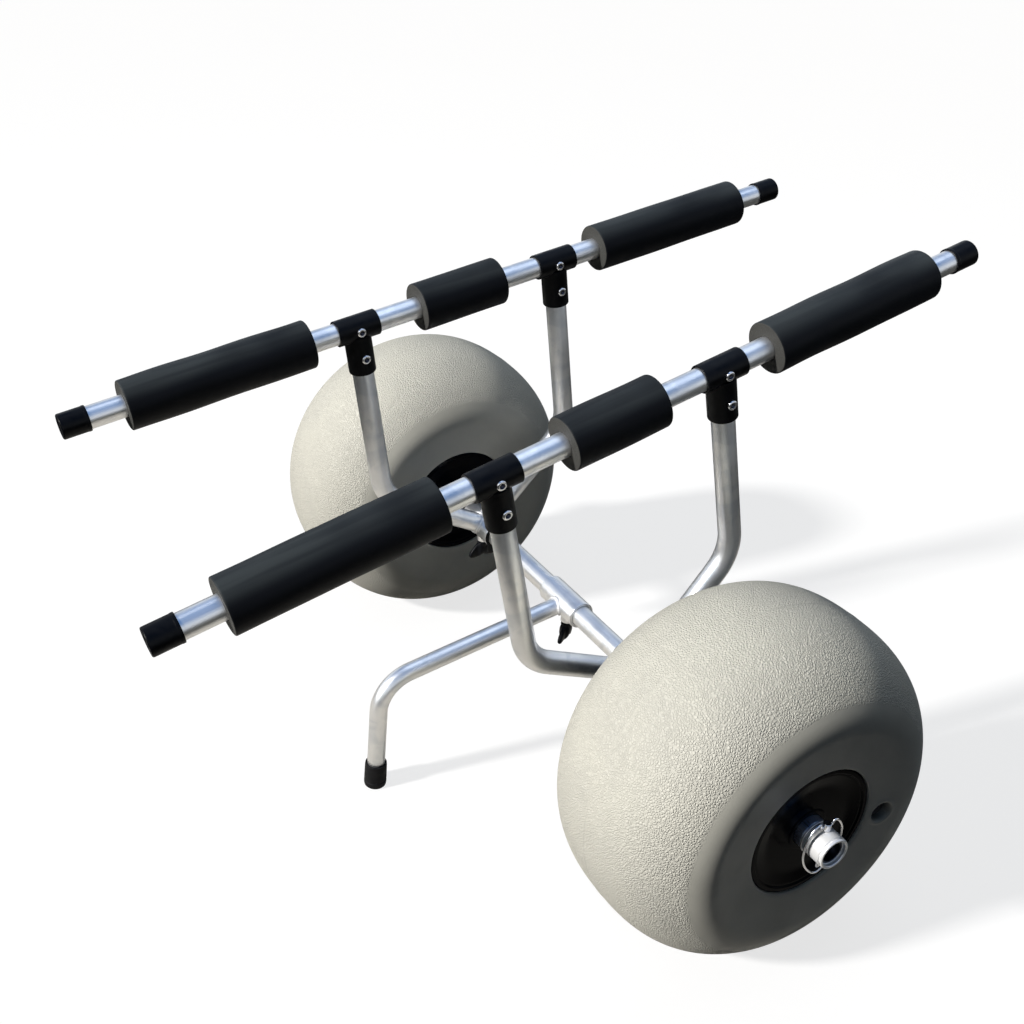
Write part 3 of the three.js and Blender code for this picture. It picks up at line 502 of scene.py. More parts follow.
class Nodes:
    """Short calls for adding and joining shader nodes in one tree."""

    def __init__(self, tree):
        self.tree = tree

    def add(self, kind, inputs=None, **options):
        """A node of a kind, with its options set and its inputs joined or given values."""
        node = self.tree.nodes.new(kind)
        for key, value in options.items():
            setattr(node, key, value)
        for key, value in (inputs or {}).items():
            self.join(value, node.inputs[key])
        return node

    def join(self, value, socket):
        """Links an output to a socket, or gives the socket a value or a colour of three parts."""
        if isinstance(value, bpy.types.NodeSocket):
            self.tree.links.new(value, socket)
        elif socket.type == "RGBA":
            socket.default_value = (*value, 1.0)
        else:
            socket.default_value = value

    def maths(self, operation, a, b, clamp=False):
        """The result of a Math node."""
        node = self.add("ShaderNodeMath", {0: a, 1: b}, operation=operation, use_clamp=clamp)
        return node.outputs[0]

    def times(self, a, b):
        """The product of two values."""
        return self.maths("MULTIPLY", a, b)

    def plus(self, a, b):
        """The sum of two values."""
        return self.maths("ADD", a, b)

    def scaled(self, vector, factors):
        """A vector with each part times its own factor."""
        node = self.add("ShaderNodeVectorMath", {0: vector, 1: factors}, operation="MULTIPLY")
        return node.outputs[0]

    def noise(self, vector, scale, detail, roughness=0.5, distortion=0.0):
        """The value of a noise texture."""
        node = self.add("ShaderNodeTexNoise", {
            "Vector": vector, "Scale": scale, "Detail": detail, "Roughness": roughness,
            "Distortion": distortion})
        return node.outputs[0]

    def span(self, value, low, high, to_low=0.0, to_high=1.0, smooth=True):
        """A value carried from one span to another, and held inside it."""
        node = self.add("ShaderNodeMapRange", {
            "Value": value, "From Min": low, "From Max": high, "To Min": to_low, "To Max": to_high},
            interpolation_type="SMOOTHSTEP" if smooth else "LINEAR", clamp=True)
        return node.outputs[0]

    def mix(self, share, first, second):
        """A colour between two colours."""
        node = self.add("ShaderNodeMix", data_type="RGBA")
        self.join(share, node.inputs[0])
        self.join(first, node.inputs[6])
        self.join(second, node.inputs[7])
        return node.outputs[2]


def toned(base, factor, lift=0.0):
    """A colour with each part times a factor, or times its own factor, plus a lift, up to 1."""
    return tuple(np.minimum(np.array(base) * factor + lift, 1.0))


def effect_group(name, inputs, outputs):
    """A new shader group with named inputs and outputs, ready for its nodes.

    If the group is there already, it comes back with None in place of the calls for nodes.
    """
    known = bpy.data.node_groups.get(name)
    if known is not None:
        return None, known
    tree = bpy.data.node_groups.new(name, "ShaderNodeTree")
    for label, kind, value in inputs:
        socket = tree.interface.new_socket(label, in_out="INPUT", socket_type=kind)
        if value is not None:
            socket.default_value = value
    for label, kind in outputs:
        tree.interface.new_socket(label, in_out="OUTPUT", socket_type=kind)
    return Nodes(tree), tree


def drawn_lines_group():
    """Fine lines along a drawn or moulded piece: noise that is stretched along its length."""
    nodes, tree = effect_group(
        "Drawn Lines",
        [("Vector", "NodeSocketVector", None), ("Density", "NodeSocketFloat", 900.0),
         ("Stretch", "NodeSocketFloat", 0.02)],
        [("Height", "NodeSocketFloat"), ("Mask", "NodeSocketFloat")])
    if nodes is None:
        return tree
    source = nodes.add("NodeGroupInput")
    factors = nodes.add("ShaderNodeCombineXYZ", {0: source.outputs["Stretch"], 1: 1.0, 2: 1.0})
    stretched = nodes.scaled(source.outputs["Vector"], factors.outputs[0])
    fine = nodes.noise(stretched, source.outputs["Density"], detail=4.0, roughness=0.6)
    coarse_scale = nodes.times(source.outputs["Density"], 0.23)
    coarse = nodes.noise(stretched, coarse_scale, detail=2.0)
    height = nodes.plus(nodes.times(fine, 0.65), nodes.times(coarse, 0.35))
    target = nodes.add("NodeGroupOutput")
    nodes.join(height, target.inputs["Height"])
    nodes.join(nodes.span(coarse, 0.4, 0.62), target.inputs["Mask"])
    return tree


def handling_group():
    """Faint marks of use: broad blotches, and small specks inside them."""
    nodes, tree = effect_group(
        "Handling Marks",
        [("Vector", "NodeSocketVector", None), ("Scale", "NodeSocketFloat", 30.0),
         ("Amount", "NodeSocketFloat", 0.5)],
        [("Blotches", "NodeSocketFloat"), ("Specks", "NodeSocketFloat")])
    if nodes is None:
        return tree
    source = nodes.add("NodeGroupInput")
    vector, scale = source.outputs["Vector"], source.outputs["Scale"]
    broad = nodes.noise(vector, scale, detail=5.0, roughness=0.6, distortion=0.4)
    blotches = nodes.span(broad, 0.38, 0.7)
    speck_scale = nodes.times(scale, 22.0)
    fine = nodes.noise(vector, speck_scale, detail=2.0, roughness=0.7)
    specks = nodes.times(nodes.span(fine, 0.64, 0.74), blotches)
    target = nodes.add("NodeGroupOutput")
    for label, value in (("Blotches", blotches), ("Specks", specks)):
        nodes.join(nodes.times(value, source.outputs["Amount"]), target.inputs[label])
    return tree


def fine_grain_group():
    """The fine even grain of a moulded or blasted surface, as a height and a mask."""
    nodes, tree = effect_group(
        "Fine Grain",
        [("Vector", "NodeSocketVector", None), ("Scale", "NodeSocketFloat", 1800.0)],
        [("Height", "NodeSocketFloat"), ("Mask", "NodeSocketFloat")])
    if nodes is None:
        return tree
    source = nodes.add("NodeGroupInput")
    vector, scale = source.outputs["Vector"], source.outputs["Scale"]
    fine = nodes.noise(vector, scale, detail=3.0, roughness=0.65)
    broad = nodes.noise(vector, nodes.times(scale, 0.06), detail=3.0)
    target = nodes.add("NodeGroupOutput")
    nodes.join(fine, target.inputs["Height"])
    nodes.join(nodes.span(broad, 0.35, 0.65), target.inputs["Mask"])
    return tree


class Finish:
    """A material with one Principled shader, and the texture places that its effects read."""

    def __init__(self, name, **constants):
        self.material = bpy.data.materials.new(name)
        self.material.use_nodes = True
        self.nodes = Nodes(self.material.node_tree)
        self.shader = self.material.node_tree.nodes["Principled BSDF"]
        for label, value in constants.items():
            self.nodes.join(value, self.shader.inputs[label.replace("_", " ")])
        self.place = self.nodes.add("ShaderNodeTexCoord").outputs["Object"]

    def straight(self):
        """Each point's place on the upright, unbent piece."""
        return self.nodes.add("ShaderNodeAttribute", attribute_name="straight").outputs["Vector"]

    def mask(self):
        """The mask that the piece's mesh carries."""
        return self.nodes.add("ShaderNodeAttribute", attribute_name="mask").outputs["Fac"]

    def group(self, tree, **inputs):
        """An effect group, placed in this material."""
        node = self.nodes.add("ShaderNodeGroup")
        node.node_tree = tree
        for label, value in inputs.items():
            self.nodes.join(value, node.inputs[label])
        return node.outputs

    def colour(self, value):
        """Joins the base colour."""
        self.nodes.join(value, self.shader.inputs["Base Color"])

    def roughness(self, value):
        """Joins the roughness."""
        self.nodes.join(value, self.shader.inputs["Roughness"])

    def bump(self, height, distance, strength=1.0):
        """Joins a height to the normal; distance is the height's size in metres."""
        node = self.nodes.add("ShaderNodeBump", {
            "Height": height, "Distance": distance, "Strength": strength})
        self.nodes.join(node.outputs[0], self.shader.inputs["Normal"])


def tyre_finish(colours):
    """Warm grey moulded tyre: pebbled where the mask is 1, smooth at 0, and painted dark as the
    shade in the valve's dent where it is -1. Painted shade also darkens the pebbles' valleys.
    """
    finish = Finish("Pebbled tyre", Specular_IOR_Level=0.22)
    nodes, place = finish.nodes, finish.place
    warp = nodes.add("ShaderNodeTexNoise", {
        "Vector": place, "Scale": 260.0, "Detail": 2.0, "Roughness": 0.5})
    bent = nodes.add("ShaderNodeMix", data_type="VECTOR")
    nodes.join(0.0014, bent.inputs[0])
    nodes.join(place, bent.inputs[4])
    nodes.join(warp.outputs["Color"], bent.inputs[5])
    cells = nodes.add("ShaderNodeTexVoronoi", {
        "Vector": bent.outputs[1], "Scale": 500.0, "Randomness": 0.95}, feature="DISTANCE_TO_EDGE")
    pebble = nodes.span(cells.outputs["Distance"], 0.0, 0.28)
    creases = nodes.noise(place, 520.0, detail=3.0, roughness=0.6, distortion=0.6)
    height = nodes.plus(nodes.times(pebble, 0.75), nodes.times(creases, 0.22))
    signed = finish.mask()
    mask = nodes.maths("MAXIMUM", signed, 0.0)
    sunk = nodes.maths("MULTIPLY", signed, -1.0, clamp=True)
    grain = finish.group(fine_grain_group(), Vector=place, Scale=1500.0)
    both = nodes.plus(nodes.times(height, mask), nodes.times(grain["Height"], 0.08))
    finish.bump(both, 0.95 * MM, 0.78)
    marks = finish.group(handling_group(), Vector=place, Scale=14.0, Amount=1.0)
    base = tuple(colours.tyre)
    dull = toned(base, (0.86, 0.86, 0.88))
    tint = nodes.mix(nodes.times(marks["Blotches"], 0.5), base, dull)
    plain = nodes.mix(marks["Blotches"], toned(base, 0.82), toned(base, 0.74))
    tint = nodes.mix(mask, plain, tint)
    # Painted shade: the valleys between the pebbles are darkened.
    painted_valley_shade = nodes.times(nodes.maths("SUBTRACT", 1.0, pebble), nodes.times(mask, 0.14))
    shaded = nodes.mix(painted_valley_shade, tint, toned(base, 0.55))
    specked = nodes.mix(nodes.times(marks["Specks"], 0.25), shaded, toned(base, 0.6))
    # Painted shade: the valve's dent, where the mask is below 0, goes near black.
    finish.colour(nodes.mix(sunk, specked, (0.003, 0.003, 0.005)))
    smooth = nodes.span(mask, 0.0, 1.0, 0.42, 0.5)
    finish.roughness(nodes.plus(smooth, nodes.times(marks["Blotches"], 0.06)))
    return finish.material


def metal_finish(name, base, low, high, density=900.0, depth=0.02, stretch=0.02, metallic=1.0):
    """Drawn metal: lines along the piece that change its gloss, marks of handling, and bluish
    patches of painted sky reflection.

    Roughness runs from low to high, and depth is the lines' depth in millimetres. Where the mask
    is 1, as in a bore, the metal is painted dark, as shade.
    """
    finish = Finish(name, Metallic=metallic)
    nodes = finish.nodes
    straight = finish.straight()
    lines = finish.group(drawn_lines_group(), Vector=straight, Density=density, Stretch=stretch)
    marks = finish.group(handling_group(), Vector=straight, Scale=24.0, Amount=1.0)
    rough = nodes.span(lines["Height"], 0.3, 0.7, low, high, smooth=False)
    finish.roughness(nodes.plus(rough, nodes.times(marks["Blotches"], 0.07)))
    tint = nodes.mix(nodes.times(marks["Blotches"], 0.35), tuple(base), toned(base, 0.88))
    # Painted reflection: bluish darker patches at random places stand in for a mottled reflection
    # of the sky.
    patches = nodes.span(nodes.noise(straight, 46.0, detail=3.0, distortion=0.8), 0.44, 0.66)
    tint = nodes.mix(nodes.times(patches, 0.3), tint, toned(base, (0.5, 0.56, 0.64)))
    worn = nodes.mix(nodes.times(marks["Specks"], 0.3), tint, toned(base, 0.5))
    # Painted shade: where the mask is 1, in bores and sockets, the metal goes dark.
    finish.colour(nodes.mix(finish.mask(), worn, (0.035, 0.037, 0.05)))
    finish.bump(lines["Height"], depth * MM, 0.6)
    return finish.material


def weld_finish(base):
    """Dull cast look of a weld bead, darker where soot settled."""
    finish = Finish("Weld bead", Metallic=0.6)
    nodes = finish.nodes
    grain = finish.group(fine_grain_group(), Vector=finish.place, Scale=900.0)
    finish.colour(nodes.mix(grain["Mask"], toned(base, 0.95), toned(base, 0.6)))
    finish.roughness(nodes.span(grain["Mask"], 0.0, 1.0, 0.5, 0.66))
    finish.bump(grain["Height"], 0.15 * MM)
    return finish.material


def plastic_finish(name, base, low, high, depth=0.03, scale=1800.0, **constants):
    """Moulded plastic or rubber: a fine grain, broad changes of gloss and a little dust.

    Roughness runs from low to high, and depth is the grain's depth in millimetres.
    """
    finish = Finish(name, **constants)
    nodes = finish.nodes
    grain = finish.group(fine_grain_group(), Vector=finish.place, Scale=scale)
    marks = finish.group(handling_group(), Vector=finish.place, Scale=40.0, Amount=1.0)
    lighter_tone, dustiest = toned(base, 1.5, 0.002), toned(base, 2.5, 0.012)
    shade = nodes.mix(nodes.times(marks["Blotches"], 0.3), tuple(base), lighter_tone)
    finish.colour(nodes.mix(nodes.times(marks["Specks"], 0.35), shade, dustiest))
    finish.roughness(nodes.span(grain["Mask"], 0.0, 1.0, low, high))
    finish.bump(grain["Height"], depth * MM, 0.7)
    return finish.material


def foam_finish(colours):
    """Closed-cell foam: a skin with faint lines along the sleeve, and open cells on the cut ends.

    The upper side, where the place's Z is most of the radius, is painted lighter in patches, as a
    sheen of light.
    """
    finish = Finish("Closed-cell foam", Specular_IOR_Level=0.1)
    nodes = finish.nodes
    straight, mask = finish.straight(), finish.mask()
    lines = finish.group(drawn_lines_group(), Vector=straight, Density=420.0, Stretch=0.06)
    grain = finish.group(fine_grain_group(), Vector=straight, Scale=1100.0)
    marks = finish.group(handling_group(), Vector=straight, Scale=22.0, Amount=1.0)
    skin, cut = tuple(colours.foam), tuple(colours.foam_cut)
    worn = toned(skin, 1.8, 0.001)
    shade = nodes.mix(nodes.times(lines["Mask"], 0.35), skin, worn)
    shade = nodes.mix(nodes.times(marks["Blotches"], 0.3), shade, worn)
    # Painted sheen: from here the upper side of the skin is painted lighter, in patches, as light
    # falling on its top.
    upward = nodes.add("ShaderNodeSeparateXYZ", {0: straight}).outputs["Z"]
    patches = nodes.span(nodes.noise(straight, 9.0, detail=2.0), 0.35, 0.6, 0.35, 1.0)
    painted_top_sheen = nodes.times(nodes.span(upward, 10 * MM, 21 * MM), patches)
    lighter_tone = nodes.mix(lines["Mask"], (0.022, 0.026, 0.029), (0.034, 0.04, 0.043))
    shade = nodes.mix(painted_top_sheen, shade, lighter_tone)
    cells = nodes.add("ShaderNodeTexVoronoi", {"Vector": straight, "Scale": 1500.0})
    pores = nodes.span(cells.outputs["Distance"], 0.15, 0.6)
    cut_shade = nodes.mix(nodes.times(pores, 0.5), cut, toned(cut, 0.55))
    finish.colour(nodes.mix(mask, shade, cut_shade))
    finish.roughness(nodes.span(marks["Blotches"], 0.0, 1.0, 0.5, 0.64))
    skin_height = nodes.plus(nodes.times(lines["Height"], 0.5), nodes.times(grain["Height"], 0.5))
    cut_height = nodes.times(pores, mask)
    finish.bump(nodes.plus(skin_height, cut_height), 0.12 * MM)
    return finish.material


def floor_finish(base):
    """Plain pale floor: it looks pale and lightly shadowed, but throws little light back up.

    Reflections see it as a pool of light round the cart, which shades the bright tubes.
    """
    finish = Finish("Studio floor", Roughness=0.95, Specular_IOR_Level=0.0, Emission_Strength=1.0)
    nodes = finish.nodes
    ray = nodes.add("ShaderNodeLightPath").outputs
    soft = nodes.noise(finish.place, 1.3, detail=2.0)
    lit = nodes.mix(soft, toned(base, 0.34), toned(base, 0.33))
    away = nodes.add("ShaderNodeVectorMath", {0: finish.place, 1: (-0.05, 0.12, 0.0)},
                     operation="DISTANCE").outputs["Value"]
    pool = nodes.mix(nodes.span(away, 0.48, 0.64), (0.66, 0.63, 0.57), (0.08, 0.08, 0.075))
    thrown = nodes.mix(ray["Is Glossy Ray"], toned(base, 0.06), pool)
    finish.colour(nodes.mix(ray["Is Camera Ray"], thrown, lit))
    glow = nodes.mix(ray["Is Camera Ray"], (0.0, 0.0, 0.0), toned(base, 0.88))
    nodes.join(glow, finish.shader.inputs["Emission Color"])
    return finish.material


def sky_world():
    """A dim blue sky for the cart, seen as a plain pale backdrop by the camera.

    In reflections it is pale at the horizon and blue overhead.
    """
    world = bpy.data.worlds.new("Studio world")
    world.use_nodes = True
    nodes = Nodes(world.node_tree)
    background = world.node_tree.nodes["Background"]
    ray = nodes.add("ShaderNodeLightPath").outputs
    direction = nodes.add("ShaderNodeTexCoord").outputs["Generated"]
    rise = nodes.add("ShaderNodeSeparateXYZ", {0: direction}).outputs["Z"]
    mirrored = nodes.mix(nodes.span(rise, 0.22, 0.85), (0.82, 0.87, 0.92), (0.08, 0.2, 0.46))
    sky = nodes.mix(ray["Is Glossy Ray"], (0.022, 0.034, 0.052), mirrored)
    nodes.join(nodes.mix(ray["Is Camera Ray"], sky, (1.0, 1.0, 1.0)), background.inputs["Color"])
    return world


def finish_named(name):
    """The finish of that name, made the first time that it is asked for."""
    _, _, colours = settings()
    makers = {
        "Pebbled tyre": lambda: tyre_finish(colours),
        "Gloss hub": lambda: plastic_finish(
            name, colours.hub, 0.14, 0.24, depth=0.006, scale=900.0, Specular_IOR_Level=0.015),
        "Wheel bush": lambda: metal_finish(name, colours.bush, 0.2, 0.34, metallic=0.9),
        "Aluminium tube": lambda: metal_finish(
            name, colours.tube, 0.26, 0.42, depth=0.016, metallic=0.95),
        "Axle tube": lambda: metal_finish(
            name, colours.tube, 0.26, 0.42, density=1100.0, depth=0.014, metallic=0.95),
        "Turned collar": lambda: metal_finish(
            name, toned(colours.tube, 1.05), 0.3, 0.42, density=700.0, stretch=6.0, metallic=0.4),
        "Bright steel": lambda: metal_finish(name, colours.steel, 0.1, 0.2, density=1500.0),
        "Zinc plate": lambda: metal_finish(
            name, toned(colours.steel, 0.75), 0.24, 0.4, stretch=1.0),
        "Weld bead": lambda: weld_finish(colours.tube),
        "Closed-cell foam": lambda: foam_finish(colours),
        "Moulded fitting": lambda: plastic_finish(
            name, colours.fitting, 0.32, 0.46, Specular_IOR_Level=0.11),
        "End cap vinyl": lambda: plastic_finish(
            name, colours.fitting, 0.3, 0.44, depth=0.05, Specular_IOR_Level=0.1),
        "Black rubber": lambda: plastic_finish(
            name, colours.rubber, 0.5, 0.68, depth=0.08, Specular_IOR_Level=0.15),
    }
    return bpy.data.materials.get(name) or makers[name]()


# Pieces


def tyre_half(sizes, fine):
    """Half of a tyre's outline as (x, r) from the crown's middle to the bead, and its pebble mask.

    The crown is the superellipse (x / reach)^p + (r / radius)^p = 1, with a narrow ridge at
    x = 0. A cubic leads over the shoulder, then a straight line over the sidewall to the lip.
    """
    reach, radius, power = sizes.crown_reach, sizes.tyre_radius, sizes.crown_power
    crown_rows, shoulder_rows, wall_rows = (50, 22, 37) if fine else (40, 14, 11)
    seam_half, bare_half, fade = 0.4 * MM, 0.7 * MM, 4 * MM
    end_x = reach * (1 - (sizes.shoulder_radius / radius) ** power) ** (1 / power)
    crown_x = end_x * np.sin(np.linspace(0, np.pi / 2, crown_rows))
    seam_x = np.array([0.2, 0.4, 0.7, 1.1, 2.0]) * MM
    x = np.unique(np.concatenate([crown_x, seam_x]).round(8))
    x = x[x <= end_x + 1e-9]
    r = radius * (1 - (x / reach) ** power) ** (1 / power)
    r += sizes.seam_height * (np.exp(-((x / seam_half) ** 2)) - 1)
    start = np.array([x[-1], r[-1]])
    slope = (start[0] / reach) ** (power - 1) * (radius / reach) * (r[-1] / radius) ** (1 - power)
    onward = np.array([1.0, -slope]) / np.hypot(1.0, slope)
    side = np.array([sizes.sidewall_reach, sizes.sidewall_radius])
    lip = np.array([sizes.sidewall_reach - sizes.lip_drop, sizes.lip_radius])
    down = (lip - side) / np.hypot(*(lip - side))
    pull = 0.35 * np.hypot(*(side - start))
    t = np.linspace(0, 1, shoulder_rows)[1:, None]
    over = ((1 - t) ** 3 * start + 3 * t * (1 - t) ** 2 * (start + onward * pull)
            + 3 * t**2 * (1 - t) * (side - down * pull) + t**3 * side)
    wall = side + (lip - side) * np.linspace(0, 1, wall_rows)[1:, None]
    edge, bead, foot = sizes.hub_radius + 0.5 * MM, sizes.hub_reach - 4.4 * MM, 46.6 * MM
    curl = rounded([wall[-1], (sizes.hub_reach + 1.5 * MM, edge), (bead, edge), (bead, foot)],
                   [0, 1.6 * MM, 0.5 * MM, 0], steps=6, closed=False)[1:]
    outline = np.concatenate([np.stack([x, r], -1), over, wall, curl])
    mask = np.clip((outline[:, 1] - sizes.pebble_radius) / fade + 1, 0, 1)
    return outline, mask * (1 - 0.8 * np.exp(-((outline[:, 0] / bare_half) ** 2)))


def tyre_shell(sizes, valve):
    """A tyre: its outline turned about X, with a round dent of the sidewall at the valve.

    The dent is depth * smoothstep of the distance from the valve's line, so its rim is soft, and
    there the mask is minus that smoothstep, which paints shade into the dent. A low ridge,
    height * exp(-((away - radius) / w)^2), runs round it.
    """
    dent_radius, dent_edge, dent_depth = 9.3 * MM, 0.9 * MM, 9.5 * MM
    ridge_radius, ridge_width, ridge_height = 11.0 * MM, 1.3 * MM, 0.5 * MM
    outer, outer_mask = tyre_half(sizes, True)
    inner, inner_mask = tyre_half(sizes, False)
    inner = inner[1:][::-1] * [-1, 1]
    profile = np.concatenate([inner, outer])
    mask = np.concatenate([inner_mask[1:][::-1], outer_mask])
    bearing, window = math.atan2(valve[1], valve[0]), 0.17
    fine = np.linspace(-window, window, 70, endpoint=False)
    rest = np.linspace(window, 2 * np.pi - window, 320, endpoint=False)
    shell = revolved(profile, angles=bearing + np.concatenate([fine, rest]), mask=mask)
    points = shell.points
    away = np.hypot(points[:, 1] - valve[0], points[:, 2] - valve[1])
    outside = points[:, 0] > sizes.hub_reach - 3 * MM
    share = np.clip((dent_radius - away) / dent_edge, 0, 1)
    share = share**2 * (3 - 2 * share)
    ridge = ridge_height * np.exp(-(((away - ridge_radius) / ridge_width) ** 2))
    points[:, 0] += np.where(outside, ridge - dent_depth * share, 0)
    # A negative mask paints shade into the dent.
    shell.mask = np.where(outside & (share > 0), -share, shell.mask)
    return shell


def valve_shell(face):
    """The rubber valve in its dent: a dished flange round a short stem, turned about X.

    face is where the valve's outer end lies along X. It and the profile are in millimetres.
    """
    foot, dish, stem = face - 8, face - 3.4, face - 0.8
    corners = [(foot, 0), (foot, 7.3), (face - 2.2, 7.3), (face - 1.8, 6.4), (dish, 4.6),
               (dish, 2.6), (stem, 2.2), (stem, 1.0), (face - 1.8, 0.8), (face - 1.8, 0)]
    return lathed(np.array(corners) * MM, 0.5 * MM, 48, closed=False)


class CART_OT_tyres(bpy.types.Operator):
    """Balloon tyres with a pebbled crown, a mould seam, smooth shoulders and a sunk valve"""

    bl_idname = "cart.tyres"
    bl_label = "Tyres"

    def execute(self, context):
        sizes, _, _ = settings()
        for side in SIDES:
            place = on_wheel(side)
            low, high = (np.array(corner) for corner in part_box(f"{side}_valve_plug"))
            middle = np.linalg.inv(place) @ np.append((low + high) / 2, 1)
            shell = tyre_shell(sizes, middle[1:3])
            add_piece(f"{side}_tyre_moulding", f"{side}_tyre", "Pebbled tyre", shell.placed(place))
            plug = valve_shell((middle[0] + (high[0] - low[0]) / 2) / MM)
            seat = place @ shift(0, middle[1], middle[2])
            add_piece(f"{side}_valve_core", f"{side}_valve_plug", "Black rubber", plug.placed(seat))
        return {"FINISHED"}


def hub_half_shell(sizes):
    """One half of a hub, turned about X: rim, dish with a shallow step, barrel and bush boss."""
    face, rim, hole = sizes.hub_reach, sizes.hub_radius, sizes.bush_radius + CLEARANCE
    wall, step, boss_depth, joint = 4 * MM, 0.6 * MM, 34 * MM, 0.15 * MM
    barrel, barrel_bore, dish_edge, land = 46 * MM, 42 * MM, 40 * MM, face - 1.1 * MM
    dish, back = face - sizes.hub_dish, face - wall - sizes.hub_dish
    corners = [
        (dish, hole), (dish, hole + wall), (dish - step, hole + wall + step),
        (dish - step, dish_edge), (land, 50.5 * MM), (land, 52 * MM), (face, 53 * MM),
        (face, rim), (face - wall, rim), (face - wall, barrel), (joint, barrel),
        (joint, barrel_bore), (back, barrel_bore), (back, hole + wall),
        (face - boss_depth, hole + wall), (face - boss_depth, hole),
    ]
    radii = [0.8, 0.5, 0.5, 3, 1.2, 0.4, 0.5, 1.2, 0.4, 0.4, 0.3, 0.3, 0.5, 0.5, 0.4, 0.3]
    return lathed(corners, np.array(radii) * MM, 144, steps=5)


class CART_OT_hubs(bpy.types.Operator):
    """Two-part gloss black hubs with their bushes"""

    bl_idname = "cart.hubs"
    bl_label = "Hubs and Bushes"

    def execute(self, context):
        sizes, _, _ = settings()
        proud, bush_length = 7 * MM, 35 * MM
        bush_face = sizes.hub_reach - sizes.hub_dish + proud
        bush = ring(bush_face - bush_length, bush_face, sizes.axle_radius + CLEARANCE,
                    sizes.bush_radius, edge=0.8 * MM)
        hub = hub_half_shell(sizes)
        for side in SIDES:
            for half, flip in (("outer", np.eye(4)), ("inner", turn(math.pi, "Z"))):
                place = on_wheel(side) @ flip
                add_piece(f"{side}_hub_{half}_moulding", f"{side}_hub_{half}", "Gloss hub",
                          hub.placed(place))
                add_piece(f"{side}_bush_{half}_turned", f"{side}_bush_{half}", "Wheel bush",
                          bush.placed(place))
        return {"FINISHED"}


def collar_shell(sizes, start, end):
    """The end collar: a sleeve with a groove behind its lip and a rounded, narrower mouth."""
    bore, mouth = sizes.axle_radius + CLEARANCE, sizes.axle_radius + 0.9 * MM
    radius = sizes.collar_radius
    lip, groove = end - 3.2 * MM, radius - 1.3 * MM
    corners = [
        (start, bore), (lip, bore), (lip, mouth), (end - 0.6 * MM, mouth), (end, mouth + 0.7 * MM),
        (end, radius - 0.6 * MM), (lip + 1.6 * MM, radius), (lip + 1.3 * MM, groove), (lip, groove),
        (lip - 0.3 * MM, radius), (start, radius),
    ]
    radii = [0.2, 0.1, 0.1, 0.5, 0.4, 0.9, 0.4, 0.15, 0.15, 0.2, 0.6]
    return lathed(corners, np.array(radii) * MM, 120)


class CART_OT_axle(bpy.types.Operator):
    """The axle tube with its stop rings, washers and end collars"""

    bl_idname = "cart.axle"
    bl_label = "Axle"

    def execute(self, context):
        sizes, _, _ = settings()
        half = (AXLE_HIGH[0] - AXLE_LOW[0]) / 2
        # The bore and the inside of the end faces, 1.3 mm out, are painted dark as shade in the
        # tube's mouth.
        tube = ring(-half, half, sizes.axle_radius - sizes.axle_wall, sizes.axle_radius, TUBE_EDGE,
                    dark=1.3 * MM)
        add_piece("axle_tube", "axle", "Axle tube", tube.placed(on_axle()))
        rings = (("washer", "pressed", 14.5 * MM, 0.4 * MM),
                 ("stop_ring", "turned", 14 * MM, 0.7 * MM))
        for side in SIDES:
            place = on_axle_end(side)
            collar = collar_shell(sizes, *along_axle(f"{side}_collar", side))
            add_piece(f"{side}_collar_turned", f"{side}_collar", "Turned collar",
                      collar.placed(place))
            for part, making, radius, edge in rings:
                start, end = along_axle(f"{side}_{part}", side)
                shell = ring(start, end, sizes.axle_radius + CLEARANCE, radius, edge, turns=80)
                add_piece(f"{side}_{part}_{making}", f"{side}_{part}", "Zinc plate",
                          shell.placed(place))
        return {"FINISHED"}


class CART_OT_safety_pins(bpy.types.Operator):
    """Safety pins through the collars, each with a sprung wire bail"""

    bl_idname = "cart.safety_pins"
    bl_label = "Safety Pins"

    def execute(self, context):
        sizes, _, _ = settings()
        tip, shank_start, head_start, head_end = -24 * MM, -22 * MM, 14 * MM, 20 * MM
        point, shank, head = 0.7 * MM, 2 * MM, 3.4 * MM
        corners = [(tip, 0), (tip, point), (shank_start, shank), (head_start, shank),
                   (head_start, head), (head_end, head), (head_end, 0)]
        pin = lathed(corners, 0.6 * MM, 40, closed=False).placed(ALONG_Z)
        half_bail = np.array([(3.7, 17), (5.3, 17.4), (7.5, 20.5), (12.5, 17.5), (17.5, 8),
                              (17.5, -8), (11, -21)]) * MM
        route = np.concatenate([half_bail, [(0, -29 * MM)], half_bail[::-1] * [-1, 1]])
        bail = wire(smooth_curve(route, steps=14), sizes.wire_radius, turns=16)
        for side in SIDES:
            low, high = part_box(f"{side}_safety_pin")
            place = on_axle((low.x + high.x) / 2)
            add_piece(f"{side}_safety_pin_turned", f"{side}_safety_pin", "Bright steel",
                      pin.placed(place))
            add_piece(f"{side}_safety_bail_wire", f"{side}_safety_bail", "Bright steel",
                      bail.placed(place))
        return {"FINISHED"}


def thread_shell(start, end, radius):
    """A threaded stud along X: its radius falls and rises by the thread's depth along a helix."""
    pitch, depth, rows_a_turn = 1.0 * MM, 0.3 * MM, 8
    s = np.linspace(start, end, int((end - start) / pitch * rows_a_turn) + 2)
    around = np.linspace(0, 2 * np.pi, 32, endpoint=False)
    wave = np.abs(((s[:, None] / pitch - around / (2 * np.pi)) % 1) * 2 - 1)
    r = radius - depth * wave
    r[[0, -1]] = 0
    s_grid = np.broadcast_to(s[:, None], r.shape)
    grid = np.stack([s_grid, r * np.cos(around), r * np.sin(around)], -1)
    return shell_from_grid(grid, grid, wrap_rows=False)


